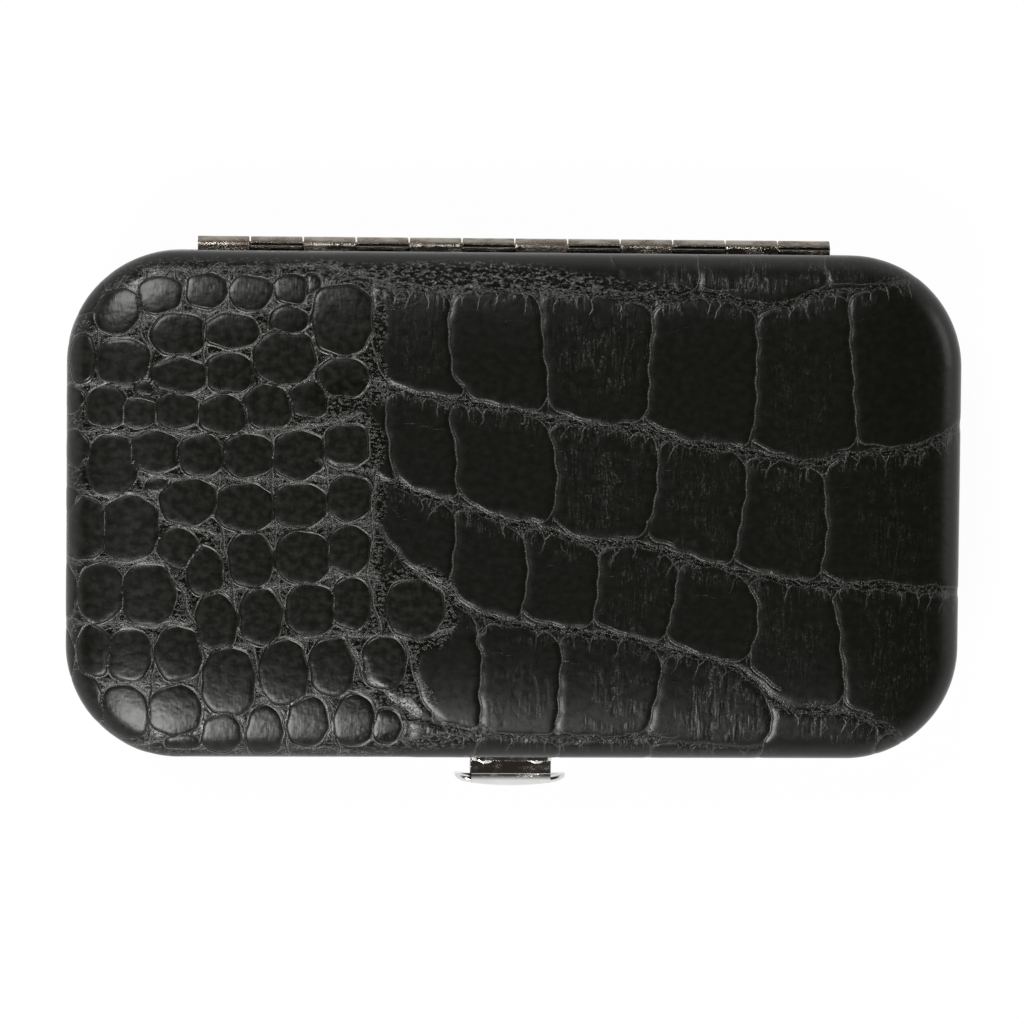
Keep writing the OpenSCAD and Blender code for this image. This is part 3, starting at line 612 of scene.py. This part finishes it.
# the relief's depth in mm, and fields of three numbers at each point for the leather's material
def drawnRelief(sheet, layout, strength):
    s = skinShape
    seam, seamNear, seamNumber, seamRun, seamLength = lineField(sheet, layout["seams"])
    wallSide, wallNear, _, wallRun, wallLength = lineField(sheet, layout["walls"])
    forkSide, forkNear, _, _, _ = lineField(sheet, layout["forks"])
    crease, creaseNear, _, creaseRun, _ = lineField(sheet, layout["creases"])
    row, rowNear, _, rowRun, _ = lineField(sheet, layout["rows"])
    scale = scaleField(sheet, layout["scales"])
    seamAlong = seamRun / seamLength
    uneven = np.sin(seamAlong * 31 + seamNumber) * np.sin(seamAlong * 17 + 1)
    widths = layout["seamWidths"][seamNumber] * (0.75 + 0.35 * uneven)
    widths = widths * (0.45 + 0.55 * stepped(np.minimum(seamAlong, 1 - seamAlong), 0, 0.08))
    wallEnd = np.minimum(wallRun, wallLength - wallRun)

    # small scales fill one end of the sheet, large ones the rest
    small = 1 - stepped(scale, *s["smallEnd"])
    netting = np.maximum(patchField(sheet, crocSheet["netting"]), small * 0.55 * stepped(scale, 0.05, 0.5))
    hair = patchField(sheet, crocSheet["hair"])
    relief = (s["seamDepth"] * np.exp(-(seamNear / (s["seamSpread"] * widths)) ** 2)
              + s["wallDepth"] * np.exp(-(wallNear / s["wallSpread"]) ** 2) * stepped(scale, 0.1, 0.6)
              + s["domeDepth"] * stepped(scale, -2.0, -0.1) * small
              + s["scaleDepth"] * (stepped(scale, -0.35, 0.1) - 0.5 * stepped(scale, 0.15, 0.5)) * small)
    return np.minimum(relief, s["deepest"]) * strength, {
        "seamField": (seam, seamNear, widths), "wallField": (wallSide, wallNear, wallEnd),
        "forkField": (forkSide, forkNear, scale), "creaseField": (crease, creaseNear, strength),
        "rowField": (row, rowNear, rowRun), "zoneField": (netting, hair, small),
        "runField": (seamRun + 37 * seamNumber, creaseRun, 0 * creaseRun),
    }


def crocSkin(body, layout, material):
    s, upper = skinShape, body == "lid"
    spread = gridSpread()
    piece, co = flatGrid(body + "Skin", *(len(one) - 1 for one in spread))
    gx, gy = (one[np.rint((co[:, k] + 1) / 2 * (len(one) - 1)).astype(int)] for k, one in enumerate(spread))
    if not upper:
        gy = -gy  # the base is turned over, so that its faces point outwards

    centre, away, reach = concentric(gx, gy)
    place = centre + away * reach[:, None]  # on the skin laid flat, in mm
    bend = np.clip((reach - flat) / s["edge"], 0, math.pi / 2)
    curl = np.clip((reach - wallFoot) / s["rim"], 0, math.pi / 2)
    inner = np.maximum(reach - wallFoot - rimArc, 0)
    out = np.where(reach > flat, flat + s["edge"] * np.sin(bend), reach) - s["rim"] * (1 - np.cos(curl)) - inner
    down = s["edge"] * (1 - np.cos(bend)) + np.clip(reach - flat - edgeArc, 0, wallHeight) + s["rim"] * np.sin(curl)
    atHinge = (gy > straightY) & (np.abs(gx) < s["notch"][0]) & (down > s["edge"])
    squeeze = (s["notch"][1] - s["edge"]) / (s["mouth"] - s["edge"])
    down = np.where(atHinge, s["edge"] + (down - s["edge"]) * squeeze, down)

    strength = 1 - 0.5 * stepped(bend, 0.8, 1.5)  # of the relief: less on the walls, none at the mouth
    strength = strength * (1 - stepped(reach, *(wallFoot - above for above in s["plainFoot"])))
    if upper:  # the turned-in rear edge is pressed smooth
        rear = stepped(gy, *(straightY + flat + past for past in s["plainRear"]))
        strength = strength * (1 - 0.75 * rear * (gy - straightY >= np.abs(gx) - straightX))
    relief, fields = drawnRelief(wobble(place if upper else -place), layout, strength)
    sink = relief + fallAway(insideBy(gx, gy, reach), bend)

    sideways = np.sin(bend) * np.cos(curl)
    upwards = np.cos(bend) - np.sin(curl)
    x = centre[:, 0] + away[:, 0] * (out - sink * sideways)
    y = centre[:, 1] + away[:, 1] * (out - sink * sideways)
    putPoints(piece, x, y, levelAt(down + sink * upwards, upper))

    for label, numbers in fields.items():
        attribute = piece.data.attributes.new(label, "FLOAT_VECTOR", "POINT")
        attribute.data.foreach_set("vector", np.stack(numbers, 1).astype(np.float32).ravel())
    piece.data.update()

    # the cloth's inner wall and floor, which nothing shows
    closeBorder(piece, [(0, size, levelAt(depth, upper) * mm) for size, depth in (
        ((1, 1, 0), s["edge"]), (s["inner"], s["thickness"] + s["innerDeep"]))])
    leave()
    smooth(piece, 60)
    return finishPiece(piece, body, material, body + "_skin")


leather = {
    # the face colours are the leather's own dark tones; the light colour after them, which the drawn lines are
    # painted in, is a painted highlight where crease edges would catch the lamps
    "face": (0.0024, 0.0028, 0.0016, 1), "faceLight": (0.0105, 0.0110, 0.0085, 1), "highlightThread": (0.25, 0.25, 0.235, 1),
    "roughness": 0.285, "gloss": 0.3,
    # half widths of the drawn lines, in mm, or as a share of a noise for the hairs
    "line": {"wall": 0.17, "fork": 0.15, "rim": 0.12, "cleft": 0.12, "lip": 0.11, "highlightThread": 0.1, "groove": 0.12,
             "edgeUp": 0.14, "edgeDown": 0.12, "twig": 0.13, "hair": 0.025, "fineHair": 0.035},
    # meshes of crossing threads: a mesh's length and width in mm, a thread's share of it, seed
    "web": {"crease": (1.9, 0.55, 0.1, 3.0), "row": (1.4, 0.42, 0.13, 8.0),
            "seam": (1.15, 0.5, 0.12, 5.0), "seamLong": (2.6, 0.8, 0.08, 1.0)},
    "seamEdge": 0.42, "twigStart": 0.36, "twigStep": 2.1,  # shares of a seam's width; mm between two twigs
    # heights and depths in mm
    "high": {"seam": 0.045, "twig": 0.03, "highlightThread": 0.055, "pebble": 0.055, "wrinkle": 0.13},
    "deep": {"wall": 0.045, "fork": 0.03, "groove": 0.04, "cleft": 0.07},
}


def crocLeather():
    # each drawn line below is a bump and also a mask for the light line colour, a painted highlight
    r = Recipe("crocLeather")
    line, high, deep, webs = leather["line"], leather["high"], leather["deep"], leather["web"]
    seam, seamNear, seamWidth = r.attribute("seamField")
    wall, wallNear, wallEnd = r.attribute("wallField")
    fork, forkNear, scale = r.attribute("forkField")
    crease, creaseNear, strength = r.attribute("creaseField")
    row, rowNear, rowRun = r.attribute("rowField")
    netting, hair, small = r.attribute("zoneField")
    seamRun, creaseRun, _ = r.attribute("runField")
    large = small.ramp(0.75, 0.3)

    fine = r.noise(0.7, 3, 0.65)
    slow = r.noise((3.2, 2.2, 3.2), 2)
    slower = r.noise((3.8, 2.6, 3.8), 2, shift=(7, 3, 0))
    mottle = r.noise((1.1, 0.9, 1.1), 1.2, 0.5, shift=(1, 6, 2))
    grain = r.noise((0.3, 0.24, 0.3), 2, 0.6, shift=(4, 4, 2))
    fineGrain = r.noise((0.3, 1.3, 0.7), 1, 0.5, turn=(0, 0, 0.35), shift=(9, 2, 5))
    # glitter: specks that make the drawn lines' painted highlight brighter in places, painted glints; through some
    # lines it also sets part of their bumps
    glitter = grain.ramp(0.48, 0.6)
    shake = (fine - 0.5) * 0.26

    def web(run, across, long, wide, width, seed):  # lens-shaped meshes that lie along a line
        along, over = (run + shake * 1.5) * (1 / long) + seed, (across + shake) * (1 / wide)
        return r.cells(r.node("CombineXYZ", {}, {0: along, 1: over, 2: seed})).ramp(width, width * 0.2)

    # walls between large scales, and the edges that curve off from them along the seams
    outside = scale.ramp(0.02, 0.16)
    wallLine = (wall + shake * 0.5).line(line["wall"]) * wallNear.ramp(0.6, 0.4) * wallEnd.ramp(1.2, 2.6) * outside
    forkLine = (fork + shake * 0.6).line(line["fork"]) * forkNear.ramp(0.6, 0.4) * outside
    edges = wallLine.high(forkLine * 0.85) * (0.3 + fine.ramp(0.35, 0.6) * 0.25 + glitter * 0.3)

    # between the small scales: a cleft along each crease, rims round the scales, threads that cross; rims and
    # threads are painted light, a painted highlight, which is mostly kept out of the clefts
    cellGap = small.ramp(0.2, 0.7)
    patchy = slower.ramp(0.36, 0.58)
    rim = (scale - 0.15 + (slow - 0.5) * 0.24 + shake * 0.3).line(line["rim"]) * (0.15 + patchy * 0.85)
    besideCrease = creaseNear.ramp(0.8, 0.6)
    cleft = (crease + shake * 0.5).line(line["cleft"]) * outside * besideCrease
    lips = (crease - 0.18 + shake * 0.5).line(line["lip"]) * besideCrease
    ways = web(creaseRun, crease, *webs["crease"]) * creaseNear.ramp(0.95, 0.55)
    ways = ways.high(web(rowRun, row, *webs["row"]) * rowNear.ramp(0.75, 0.45))
    sideThread = (crease + (slow - 0.5) * 2.4).line(line["highlightThread"]) * creaseNear.ramp(0.9, 0.5)
    sideThread = sideThread.high((row + (slower - 0.5) * 2.0).line(line["highlightThread"]) * rowNear.ramp(0.8, 0.45))
    # bright specks along the rows: painted glints in the colour, and small bumps
    speck = r.noise((0.42, 0.22, 0.3), 2, 0.6, 0.4).ramp(0.51, 0.58)
    rowSpeck = speck * rowNear.ramp(0.4, 0.15) * (0.35 + patchy * 0.65) * outside * cellGap
    threads = (rim * 0.95).high(lips * 0.9).high(ways * 0.27).high(sideThread * 0.7)
    threads = threads * outside * cellGap * (1 - cleft * 0.85)
    gaps = (threads * (0.35 + glitter * 0.65)).high(rowSpeck * 0.6)
    groove = (scale + 0.05).line(line["groove"]) * small.ramp(0.4, 0.9)
    onScale = scale.ramp(0.0, -0.2)

    # threads that cross inside the seams, and the seams' own edges
    share = seamNear / seamWidth
    inSeam = share.ramp(0.62, 0.4)
    seamWeb = web(seamRun, seam, *webs["seam"]).high(web(seamRun, seam + (slow - 0.5) * 0.5, *webs["seamLong"]))
    side = seamWidth * leather["seamEdge"]
    edgeUp = (seam - side + (slow - 0.5) * 0.8 + shake * 0.6).line(line["edgeUp"])
    edgeDown = (seam + side + (slower - 0.5) * 0.9 + shake * 0.6).line(line["edgeDown"])
    seamLines = (seamWeb * 0.8 * inSeam).high(edgeUp.high(edgeDown * 0.75) * share.ramp(0.85, 0.65))
    seamLines = seamLines * (0.08 + fine.ramp(0.42, 0.6) * 0.17 + glitter * 0.45)

    # pebbled places, where the pattern breaks up into dots and dashes
    pebble = r.noise((0.62, 0.36, 0.5), 3, 0.6, 0.5).ramp(0.5, 0.6)
    pebbles = pebble * netting * outside * (0.3 + glitter * 0.7)

    # fine upright wrinkles: patches, and short ones that hang from each seam
    upright = r.noise((0.95, 6.0, 5.0), 2, 0.5, 0.35)
    fineUpright = r.noise((0.5, 3.6, 3.4), 2, 0.6, 0.4, shift=(5, 2, 0))
    under = seam * -1
    hanging = under.ramp(0.1, 0.7) * under.ramp(3.6, 0.9) * seamNear.ramp(3.6, 3.0) * slow.ramp(0.4, 0.6)
    rising = seam.ramp(0.1, 0.5) * seam.ramp(1.8, 0.6) * slower.ramp(0.45, 0.65) * 0.5
    where = (hair * slow.ramp(0.35, 0.55)).high(hanging * 0.8).high(rising) * large
    hairLines = ((upright - 0.5).line(line["hair"]) * 0.75).high((fineUpright - 0.5).line(line["fineHair"]) * 0.4)
    hairLines = hairLines * where * (0.15 + glitter * 0.85)

    # twigs: short wrinkles below each seam, forked where they leave it
    spot = (seamRun + slow * 1.5) * (1 / leather["twigStep"])
    number = spot.math("FLOOR")
    chance = r.node("TexWhiteNoise", {"noise_dimensions": "1D"}, {"W": number}, 0)
    depth = under - seamWidth * leather["twigStart"]
    aside = (spot - number - 0.5) * leather["twigStep"] + (chance - 0.5) * (0.9 + depth * 0.5) + shake * 1.1
    twigs = (abs(aside) - ((0.8 - depth) * 0.6).high(0.0)).line(line["twig"])
    twigs = twigs * depth.ramp(-0.1, 0.1) * (depth / (chance * 2.2 + 1.3)).ramp(1.0, 0.55)
    twigs = twigs * chance.ramp(0.2, 0.35) * large * seamNear.ramp(3.6, 3.0)
    twigs = twigs * (0.3 + slower.ramp(0.4, 0.6) * 0.45 + glitter * 0.25)

    # how strongly each drawn line is painted light, a painted highlight, left out of the grooves round the small
    # scales
    lines = edges.high(seamLines * 0.85).high(hairLines * 1.4).high(twigs * 0.62) * (0.27 + netting * 0.15)
    lines = lines.high(gaps * (0.25 + strength * 0.45)).high(pebbles * 0.42)
    lines = lines * (1 - groove) * strength.ramp(0.0, 0.5, 0.3, 1.0)
    lumps = small.high(netting)
    height = (edges.high(seamLines) * high["seam"] + twigs * high["twig"]
              + threads.high(rowSpeck * 0.6) * high["highlightThread"] + pebbles * high["pebble"]
              - wallNear.ramp(0.5, 0.05) * wallEnd.ramp(1.0, 2.6) * outside * deep["wall"]
              - forkNear.ramp(0.4, 0.05) * outside * deep["fork"]
              - groove * deep["groove"] - cleft * cellGap * deep["cleft"]
              + (mottle - 0.5) * (0.016 + onScale * small * 0.024 + netting * 0.02)
              + (fineGrain - 0.5) * (0.003 + onScale * small * 0.009 + inSeam * 0.01)
              + (upright - 0.5) * high["wrinkle"] * where)
    lightness = mottle.ramp(0.35, 0.75) * (0.3 + lumps * 0.35) * (0.25 + onScale * 0.75)
    face = r.blendColour(lightness, leather["face"], leather["faceLight"])
    # the drawn lines are painted in the light colour over the face: painted highlight
    colour = r.blendColour(lines.low(1.0), face, leather["highlightThread"])
    rough = leather["roughness"] + (mottle - 0.5) * 0.12 - (outside * cellGap).high(netting) * 0.12 - inSeam * 0.08
    return r.finish(Base_Color=colour, Roughness=rough, Specular_IOR_Level=leather["gloss"], Normal=r.bump(height))


def velvetCloth():
    r = Recipe("velvetCloth")
    pile = r.noise(0.22, 2, 0.7)
    brushed = r.noise((7, 4, 7), 3, 0.6, 0.6)
    colour = r.blendColour(brushed.ramp(0.3, 0.75) * 0.6 + pile * 0.25,
                           (0.011, 0.011, 0.0115, 1), (0.034, 0.034, 0.035, 1))
    return r.finish(Base_Color=colour, Roughness=0.95, Sheen_Weight=0.6, Sheen_Roughness=0.35,
                    Sheen_Tint=(0.6, 0.6, 0.61, 1), Specular_IOR_Level=0.15,
                    Normal=r.bump(pile * 0.12 + brushed * 0.25, 0.7))


def wovenElastic():
    r = Recipe("wovenElastic")
    x, y, z = r.axes()
    ribs = (x * (2 * math.pi / 0.75)).math("SINE")
    picks = ((y + z) * (2 * math.pi / 0.42) + ribs.ramp(-0.1, 0.1) * math.pi).math("SINE")
    fuzz = r.noise(0.15, 2)
    weave = ribs.ramp(-0.6, 0.9) * 0.6 + picks.ramp(-0.8, 0.8) * 0.4
    colour = r.blendColour(weave * 0.8 + fuzz * 0.2, (0.006, 0.006, 0.006, 1), (0.03, 0.03, 0.031, 1))
    return r.finish(Base_Color=colour, Roughness=0.75, Sheen_Weight=0.25,
                    Normal=r.bump(weave * 0.1 + fuzz * 0.03, 0.9))


rolledEdge = {"y": 33.25, "width": 0.26, "above": (11.4, 11.6)}  # mm: the dark line on the knuckles


def platedMetal(name, face, dull, roughness, scratch, spots, rolled=False):
    r = Recipe(name)
    cloud = r.noise((2.6, 1.4, 1.6), 4, 0.6)
    grit = r.noise(0.16, 2, 0.6)
    fine = r.noise((0.9, 0.08, 0.08), 3, 0.65, 0.4)
    marks = (fine - 0.5).line(0.03) * cloud.ramp(0.4, 0.65)
    colour = r.blendColour(cloud.ramp(0.35, 0.75) * spots, face, dull)
    rough = roughness + cloud.ramp(0.4, 0.7) * 0.1 + marks * 0.15
    height = (grit - 0.5) * scratch + marks * -scratch * 0.4 + (cloud - 0.5) * scratch * 0.8
    if rolled:  # the end of the rolled strip lies along each knuckle
        _, y, z = r.axes()
        slit = (y - rolledEdge["y"]).line(rolledEdge["width"]) * z.ramp(*rolledEdge["above"])
        colour = r.blendColour(slit.ramp(0.2, 0.6), colour, (0.01, 0.009, 0.008, 1))
        height = height - slit * 0.12
    return r.finish(Base_Color=colour, Metallic=1.0, Roughness=rough, Normal=r.bump(height))


def toolSteel():
    r = Recipe("toolSteel")
    brushed = r.noise((6.0, 0.07, 0.07), 3, 0.6)
    cloud = r.noise(5, 3)
    colour = r.blendColour(cloud.ramp(0.3, 0.8) * 0.4, (0.62, 0.62, 0.62, 1), (0.5, 0.5, 0.51, 1))
    return r.finish(Base_Color=colour, Metallic=1.0, Roughness=0.18 + brushed.ramp(0.3, 0.7) * 0.06,
                    Normal=r.bump((brushed - 0.5) * 0.003))


fileCut = {"from": 14.0, "to": 39.0, "pitch": 0.42}  # mm along the file


def cutSteel():  # the nail file: fine crossed cuts between its tang and its tip
    r = Recipe("cutSteel")
    x, y, _ = r.axes()
    one = ((x + y * 0.8) * (2 * math.pi / fileCut["pitch"])).math("SINE")
    two = ((x - y * 0.8) * (2 * math.pi / fileCut["pitch"])).math("SINE")
    cut = one.high(two).ramp(-0.2, 0.9)
    zone = x.ramp(fileCut["from"] - 0.4, fileCut["from"] + 0.4) * x.ramp(fileCut["to"] + 0.4, fileCut["to"] - 0.4)
    glint = r.noise(0.3, 1)
    colour = r.blendColour(zone * (0.35 + cut * 0.3 + glint * 0.2), (0.62, 0.62, 0.62, 1), (0.3, 0.3, 0.31, 1))
    return r.finish(Base_Color=colour, Metallic=1.0, Roughness=0.22 + zone * 0.25,
                    Normal=r.bump(cut * zone * 0.07))


def foamSheet():
    r = Recipe("foamSheet")
    pore = r.cells(r.scaled(0.5), "F1")
    tone = r.noise(6, 3)
    colour = r.blendColour(pore.ramp(0.1, 0.7) * 0.6 + tone * 0.4, (0.55, 0.52, 0.44, 1), (0.78, 0.75, 0.67, 1))
    return r.finish(Base_Color=colour, Roughness=0.95, Normal=r.bump(pore * 0.25))


def pressedSteel():
    r = Recipe("pressedSteel")
    cloud = r.noise(9, 4, 0.6)
    grit = r.noise(0.3, 2)
    colour = r.blendColour(cloud.ramp(0.35, 0.7), (0.33, 0.34, 0.35, 1), (0.24, 0.245, 0.25, 1))
    return r.finish(Base_Color=colour, Metallic=0.85, Roughness=0.38 + cloud * 0.2,
                    Normal=r.bump((grit - 0.5) * 0.02))


def blackLacquer():
    r = Recipe("blackLacquer")
    cloud = r.noise(4, 3)
    peel = r.noise(0.8, 2)
    worn = r.noise(0.5, 3, 0.7).ramp(0.64, 0.72)
    colour = r.blendColour(worn * 0.5 + cloud * 0.15, (0.012, 0.012, 0.012, 1), (0.06, 0.06, 0.06, 1))
    return r.finish(Base_Color=colour, Roughness=0.22 + cloud * 0.14, Coat_Weight=0.3,
                    Normal=r.bump((peel - 0.5) * 0.02))


nickelPlate = {"face": (0.31, 0.288, 0.25, 1), "dull": (0.12, 0.088, 0.065, 1),
               "roughness": 0.1, "scratch": 0.028, "spots": 0.9}
croc = crocLeather()
velvet = velvetCloth()
elastic = wovenElastic()
nickel = platedMetal("hingeNickel", **nickelPlate)
nickelRolled = platedMetal("rolledNickel", **nickelPlate, rolled=True)
chrome = platedMetal("claspChrome", (0.72, 0.72, 0.71, 1), (0.56, 0.55, 0.53, 1), 0.06, 0.0015, 0.4)
springWire = platedMetal("springWire", (0.5, 0.5, 0.5, 1), (0.36, 0.36, 0.37, 1), 0.25, 0.008, 0.6)
steel = toolSteel()
cutFile = cutSteel()
foam = foamSheet()
shellSteel = pressedSteel()
lacquer = blackLacquer()
print("materials made")

layout = sheetLines()
for body in ("lid", "base"):
    print(body, "skin embossed:", len(crocSkin(body, layout, croc).data.polygons), "faces")

for body in ("base", "lid"):
    foamPad(body, foam)
for body in ("base", "lid"):
    easedCopies(body, velvet, "velvet", 0.15, 3, body + "_lining")
easedCopies("base", velvet, "velvet", 0.35, 3, "tool_tray")
easedCopies("lid", velvet, "velvet", 0.45, 3, "lid_board")
easedCopies("lid", elastic, "elastic", 0.12, 2, "strap_left", "strap_right")
print("soft parts made")


claspPad = {  # mm: the thumb pad's middle, half sizes, corner, thickness, bow, and how far its edge is turned back
    "front": -36.85, "level": 10.0, "half": (7.2, 2.4), "corner": 1.7, "thickness": 0.9, "bow": 0.7, "turn": 0.66,
    "neck": 5.16, "behind": 0.5,  # where the plain pad is cut off, at the sides and at the back
    "bevel": 0.1, "back": (0.9, 1, 0.72), "faces": (64, 28),
}


def claspWithPad():  # the lever as it is, with its plain pad cut off and a cushioned one put on
    c = claspPad
    lever = copyOfSolid("clasp_lever", "claspLever")
    for place, outward in (((0, c["front"] + c["behind"], 0), (0, -1, 0)),
                           ((c["neck"], 0, 0), (1, 0, 0)), ((-c["neck"], 0, 0), (-1, 0, 0))):
        edit(lever)
        bpy.ops.mesh.select_all(action="SELECT")
        bpy.ops.mesh.bisect(plane_co=[v * mm for v in place], plane_no=outward, use_fill=True, clear_outer=True)
        leave()
    bevelled(lever, c["bevel"], 2)
    levelled(smooth(lever, 32))

    pad, co = flatGrid("claspPad", *c["faces"])
    halfX, halfZ = c["half"]
    centre, away, reach = concentric(co[:, 0] * halfX, co[:, 1] * halfZ, halfX - c["corner"], halfZ - c["corner"])
    share = np.sin(np.clip(reach / c["corner"], 0, 1) * math.pi / 2)  # crowds the rows towards the edge
    x, z = (centre + away * share[:, None] * c["corner"]).T
    y = c["front"] + c["bow"] * (x / halfX) ** 2 + c["turn"] * (1 - np.sqrt(np.maximum(1 - share ** 2, 0)))
    putPoints(pad, x, y, z + c["level"])
    closeBorder(pad, [((c["thickness"] - c["turn"]) * mm, None, 0), (0, c["back"], c["level"] * mm)])
    bpy.ops.mesh.select_all(action="SELECT")
    bpy.ops.mesh.normals_make_consistent(inside=False)
    leave()
    smooth(pad, 40)
    pick(lever)
    pad.select_set(True)
    bpy.ops.object.join()
    return lever


finishPiece(claspWithPad(), "clasp", chrome, "clasp_lever")
easedCopies("base", nickelRolled, "nickel", 0.1, 2, "base_hinge_leaf")
easedCopies("lid", nickel, "nickel", 0.1, 2, "lid_hinge_leaf")
easedCopies("base", chrome, "chrome", 0.08, 2, "clasp_bracket")
easedCopies("lid", chrome, "chrome", 0.08, 2, "clasp_strike")
easedCopies("base", steel, "tool_steel", 0.12, 2, "clipper_lower_arm", "clipper_upper_arm", "clipper_lever",
            "scissors_lower_half", "scissors_upper_half")
easedCopies("lid", steel, "tool_steel", 0.1, 2, "tweezers")
easedCopies("lid", cutFile, "tool_steel", 0.12, 2, "nail_file")

for material, *nodes in (  # CAD nodes that keep their shape
        (nickel, "hinge_pin", "base_leaf_rivets", "lid_leaf_rivets"),
        (chrome, "bracket_rivets", "clasp_pivot_pin", "strike_rivets"),
        (steel, "clipper_post", "scissors_screw", "cuticle_pusher"),
        (springWire, "clasp_spring"), (shellSteel, "base_shell", "lid_shell"),
        (lacquer, "base_frame", "lid_frame")):
    for node in nodes:
        dress(solids[node], material)
print("metal dressed")


studio = {
    "floor": 3.0, "floorDrop": -0.00003, "floorWhite": 0.9, "floorGlow": 0.965,
    # the eye's lean in degrees to the right and to the rear, its roll, distance and target, in metres
    "eye": (-3.52, 3.43), "roll": 0.51, "distance": 0.6123, "target": (-0.0001, -0.0011, 0.012),
    "lens": 166.1, "sensor": 36.0, "clip": (0.01, 10),
}

clearSelection()
bpy.ops.mesh.primitive_plane_add(size=studio["floor"], location=(0, 0, studio["floorDrop"]))
bpy.ops.object.transform_apply(location=True, rotation=True, scale=True)
floor = bpy.context.object
floor.name = "studioFloor"
r = Recipe("studioFloor")
rays = [r.node("LightPath", {}, {}, k) for k in ("Is Camera Ray", "Is Glossy Ray", "Is Transmission Ray")]
seen = rays[0].high(rays[1]).high(rays[2])
paper = r.node("BsdfDiffuse", {}, {0: (studio["floorWhite"],) * 3 + (1,)})
glow = r.node("Emission", {}, {0: (1, 1, 1, 1), 1: 1.0})
lit = r.node("MixShader", {}, {0: seen * studio["floorGlow"], 1: paper, 2: glow})
below = r.node("NewGeometry", {}, {}, "Backfacing")
clear = r.node("BsdfTransparent", {}, {})
r.close(r.node("MixShader", {}, {0: below, 1: lit, 2: clear}))
floor.data.materials.append(r.material)

roomTones = [  # from straight below to straight above: white near the floor, dark overhead
    (0.0, (1, 1, 1, 1)), (0.18, (1, 1, 1, 1)), (0.45, (0.5, 0.5, 0.5, 1)),
    (0.68, (0.07, 0.064, 0.058, 1)), (1.0, (0.03, 0.024, 0.02, 1))]
room = Recipe("softRoom", bpy.data.worlds)
direction = room.node("TexCoord", {}, {}, "Generated")
_, _, upness = room.parts(direction)
tone = room.node("ValToRGB", {"stops": roomTones}, {0: upness}, 0)
room.close(room.node("Background", {}, {0: tone, 1: 1.0}), "OutputWorld")
bpy.context.scene.world = room.material

lamps = {  # place and size in metres, watts: soft boxes round the case, nothing straight above
    "frontBox": ((-0.3, -0.66, 0.94), (0.46, 0.46), 12.5),
    "rearBox": ((-0.36, 0.56, 0.95), (0.4, 0.4), 8.2),
    "rightBox": ((0.95, 0.25, 0.45), (0.5, 0.4), 1.5),
}
for name, (place, size, watts) in lamps.items():
    clearSelection()
    bpy.ops.object.light_add(type="AREA", location=place)
    lamp = bpy.context.object
    lamp.name = name
    lamp.data.shape = "RECTANGLE"
    lamp.data.size, lamp.data.size_y = size
    lamp.data.energy = watts
    lamp.rotation_euler = (-Vector(place)).to_track_quat("-Z", "Y").to_euler()

leanRight, leanBack = (math.radians(a) for a in studio["eye"])
clearSelection()
bpy.ops.object.camera_add()
eye = bpy.context.object
eye.name = "photoCamera"
toward = Vector((math.tan(leanRight), math.tan(leanBack), 1)).normalized()
eye.location = Vector(studio["target"]) + toward * studio["distance"]
right = Vector((1, 0, -toward.x / toward.z)).normalized()
up = toward.cross(right)
roll = math.radians(studio["roll"])
right, up = right * math.cos(roll) + up * math.sin(roll), up * math.cos(roll) - right * math.sin(roll)
eye.rotation_euler = Matrix((right, up, toward)).transposed().to_euler()
eye.data.lens = studio["lens"]
eye.data.sensor_width = studio["sensor"]
eye.data.clip_start, eye.data.clip_end = studio["clip"]
bpy.context.scene.camera = eye
bpy.context.scene.view_settings.view_transform = "Standard"
print("studio set")
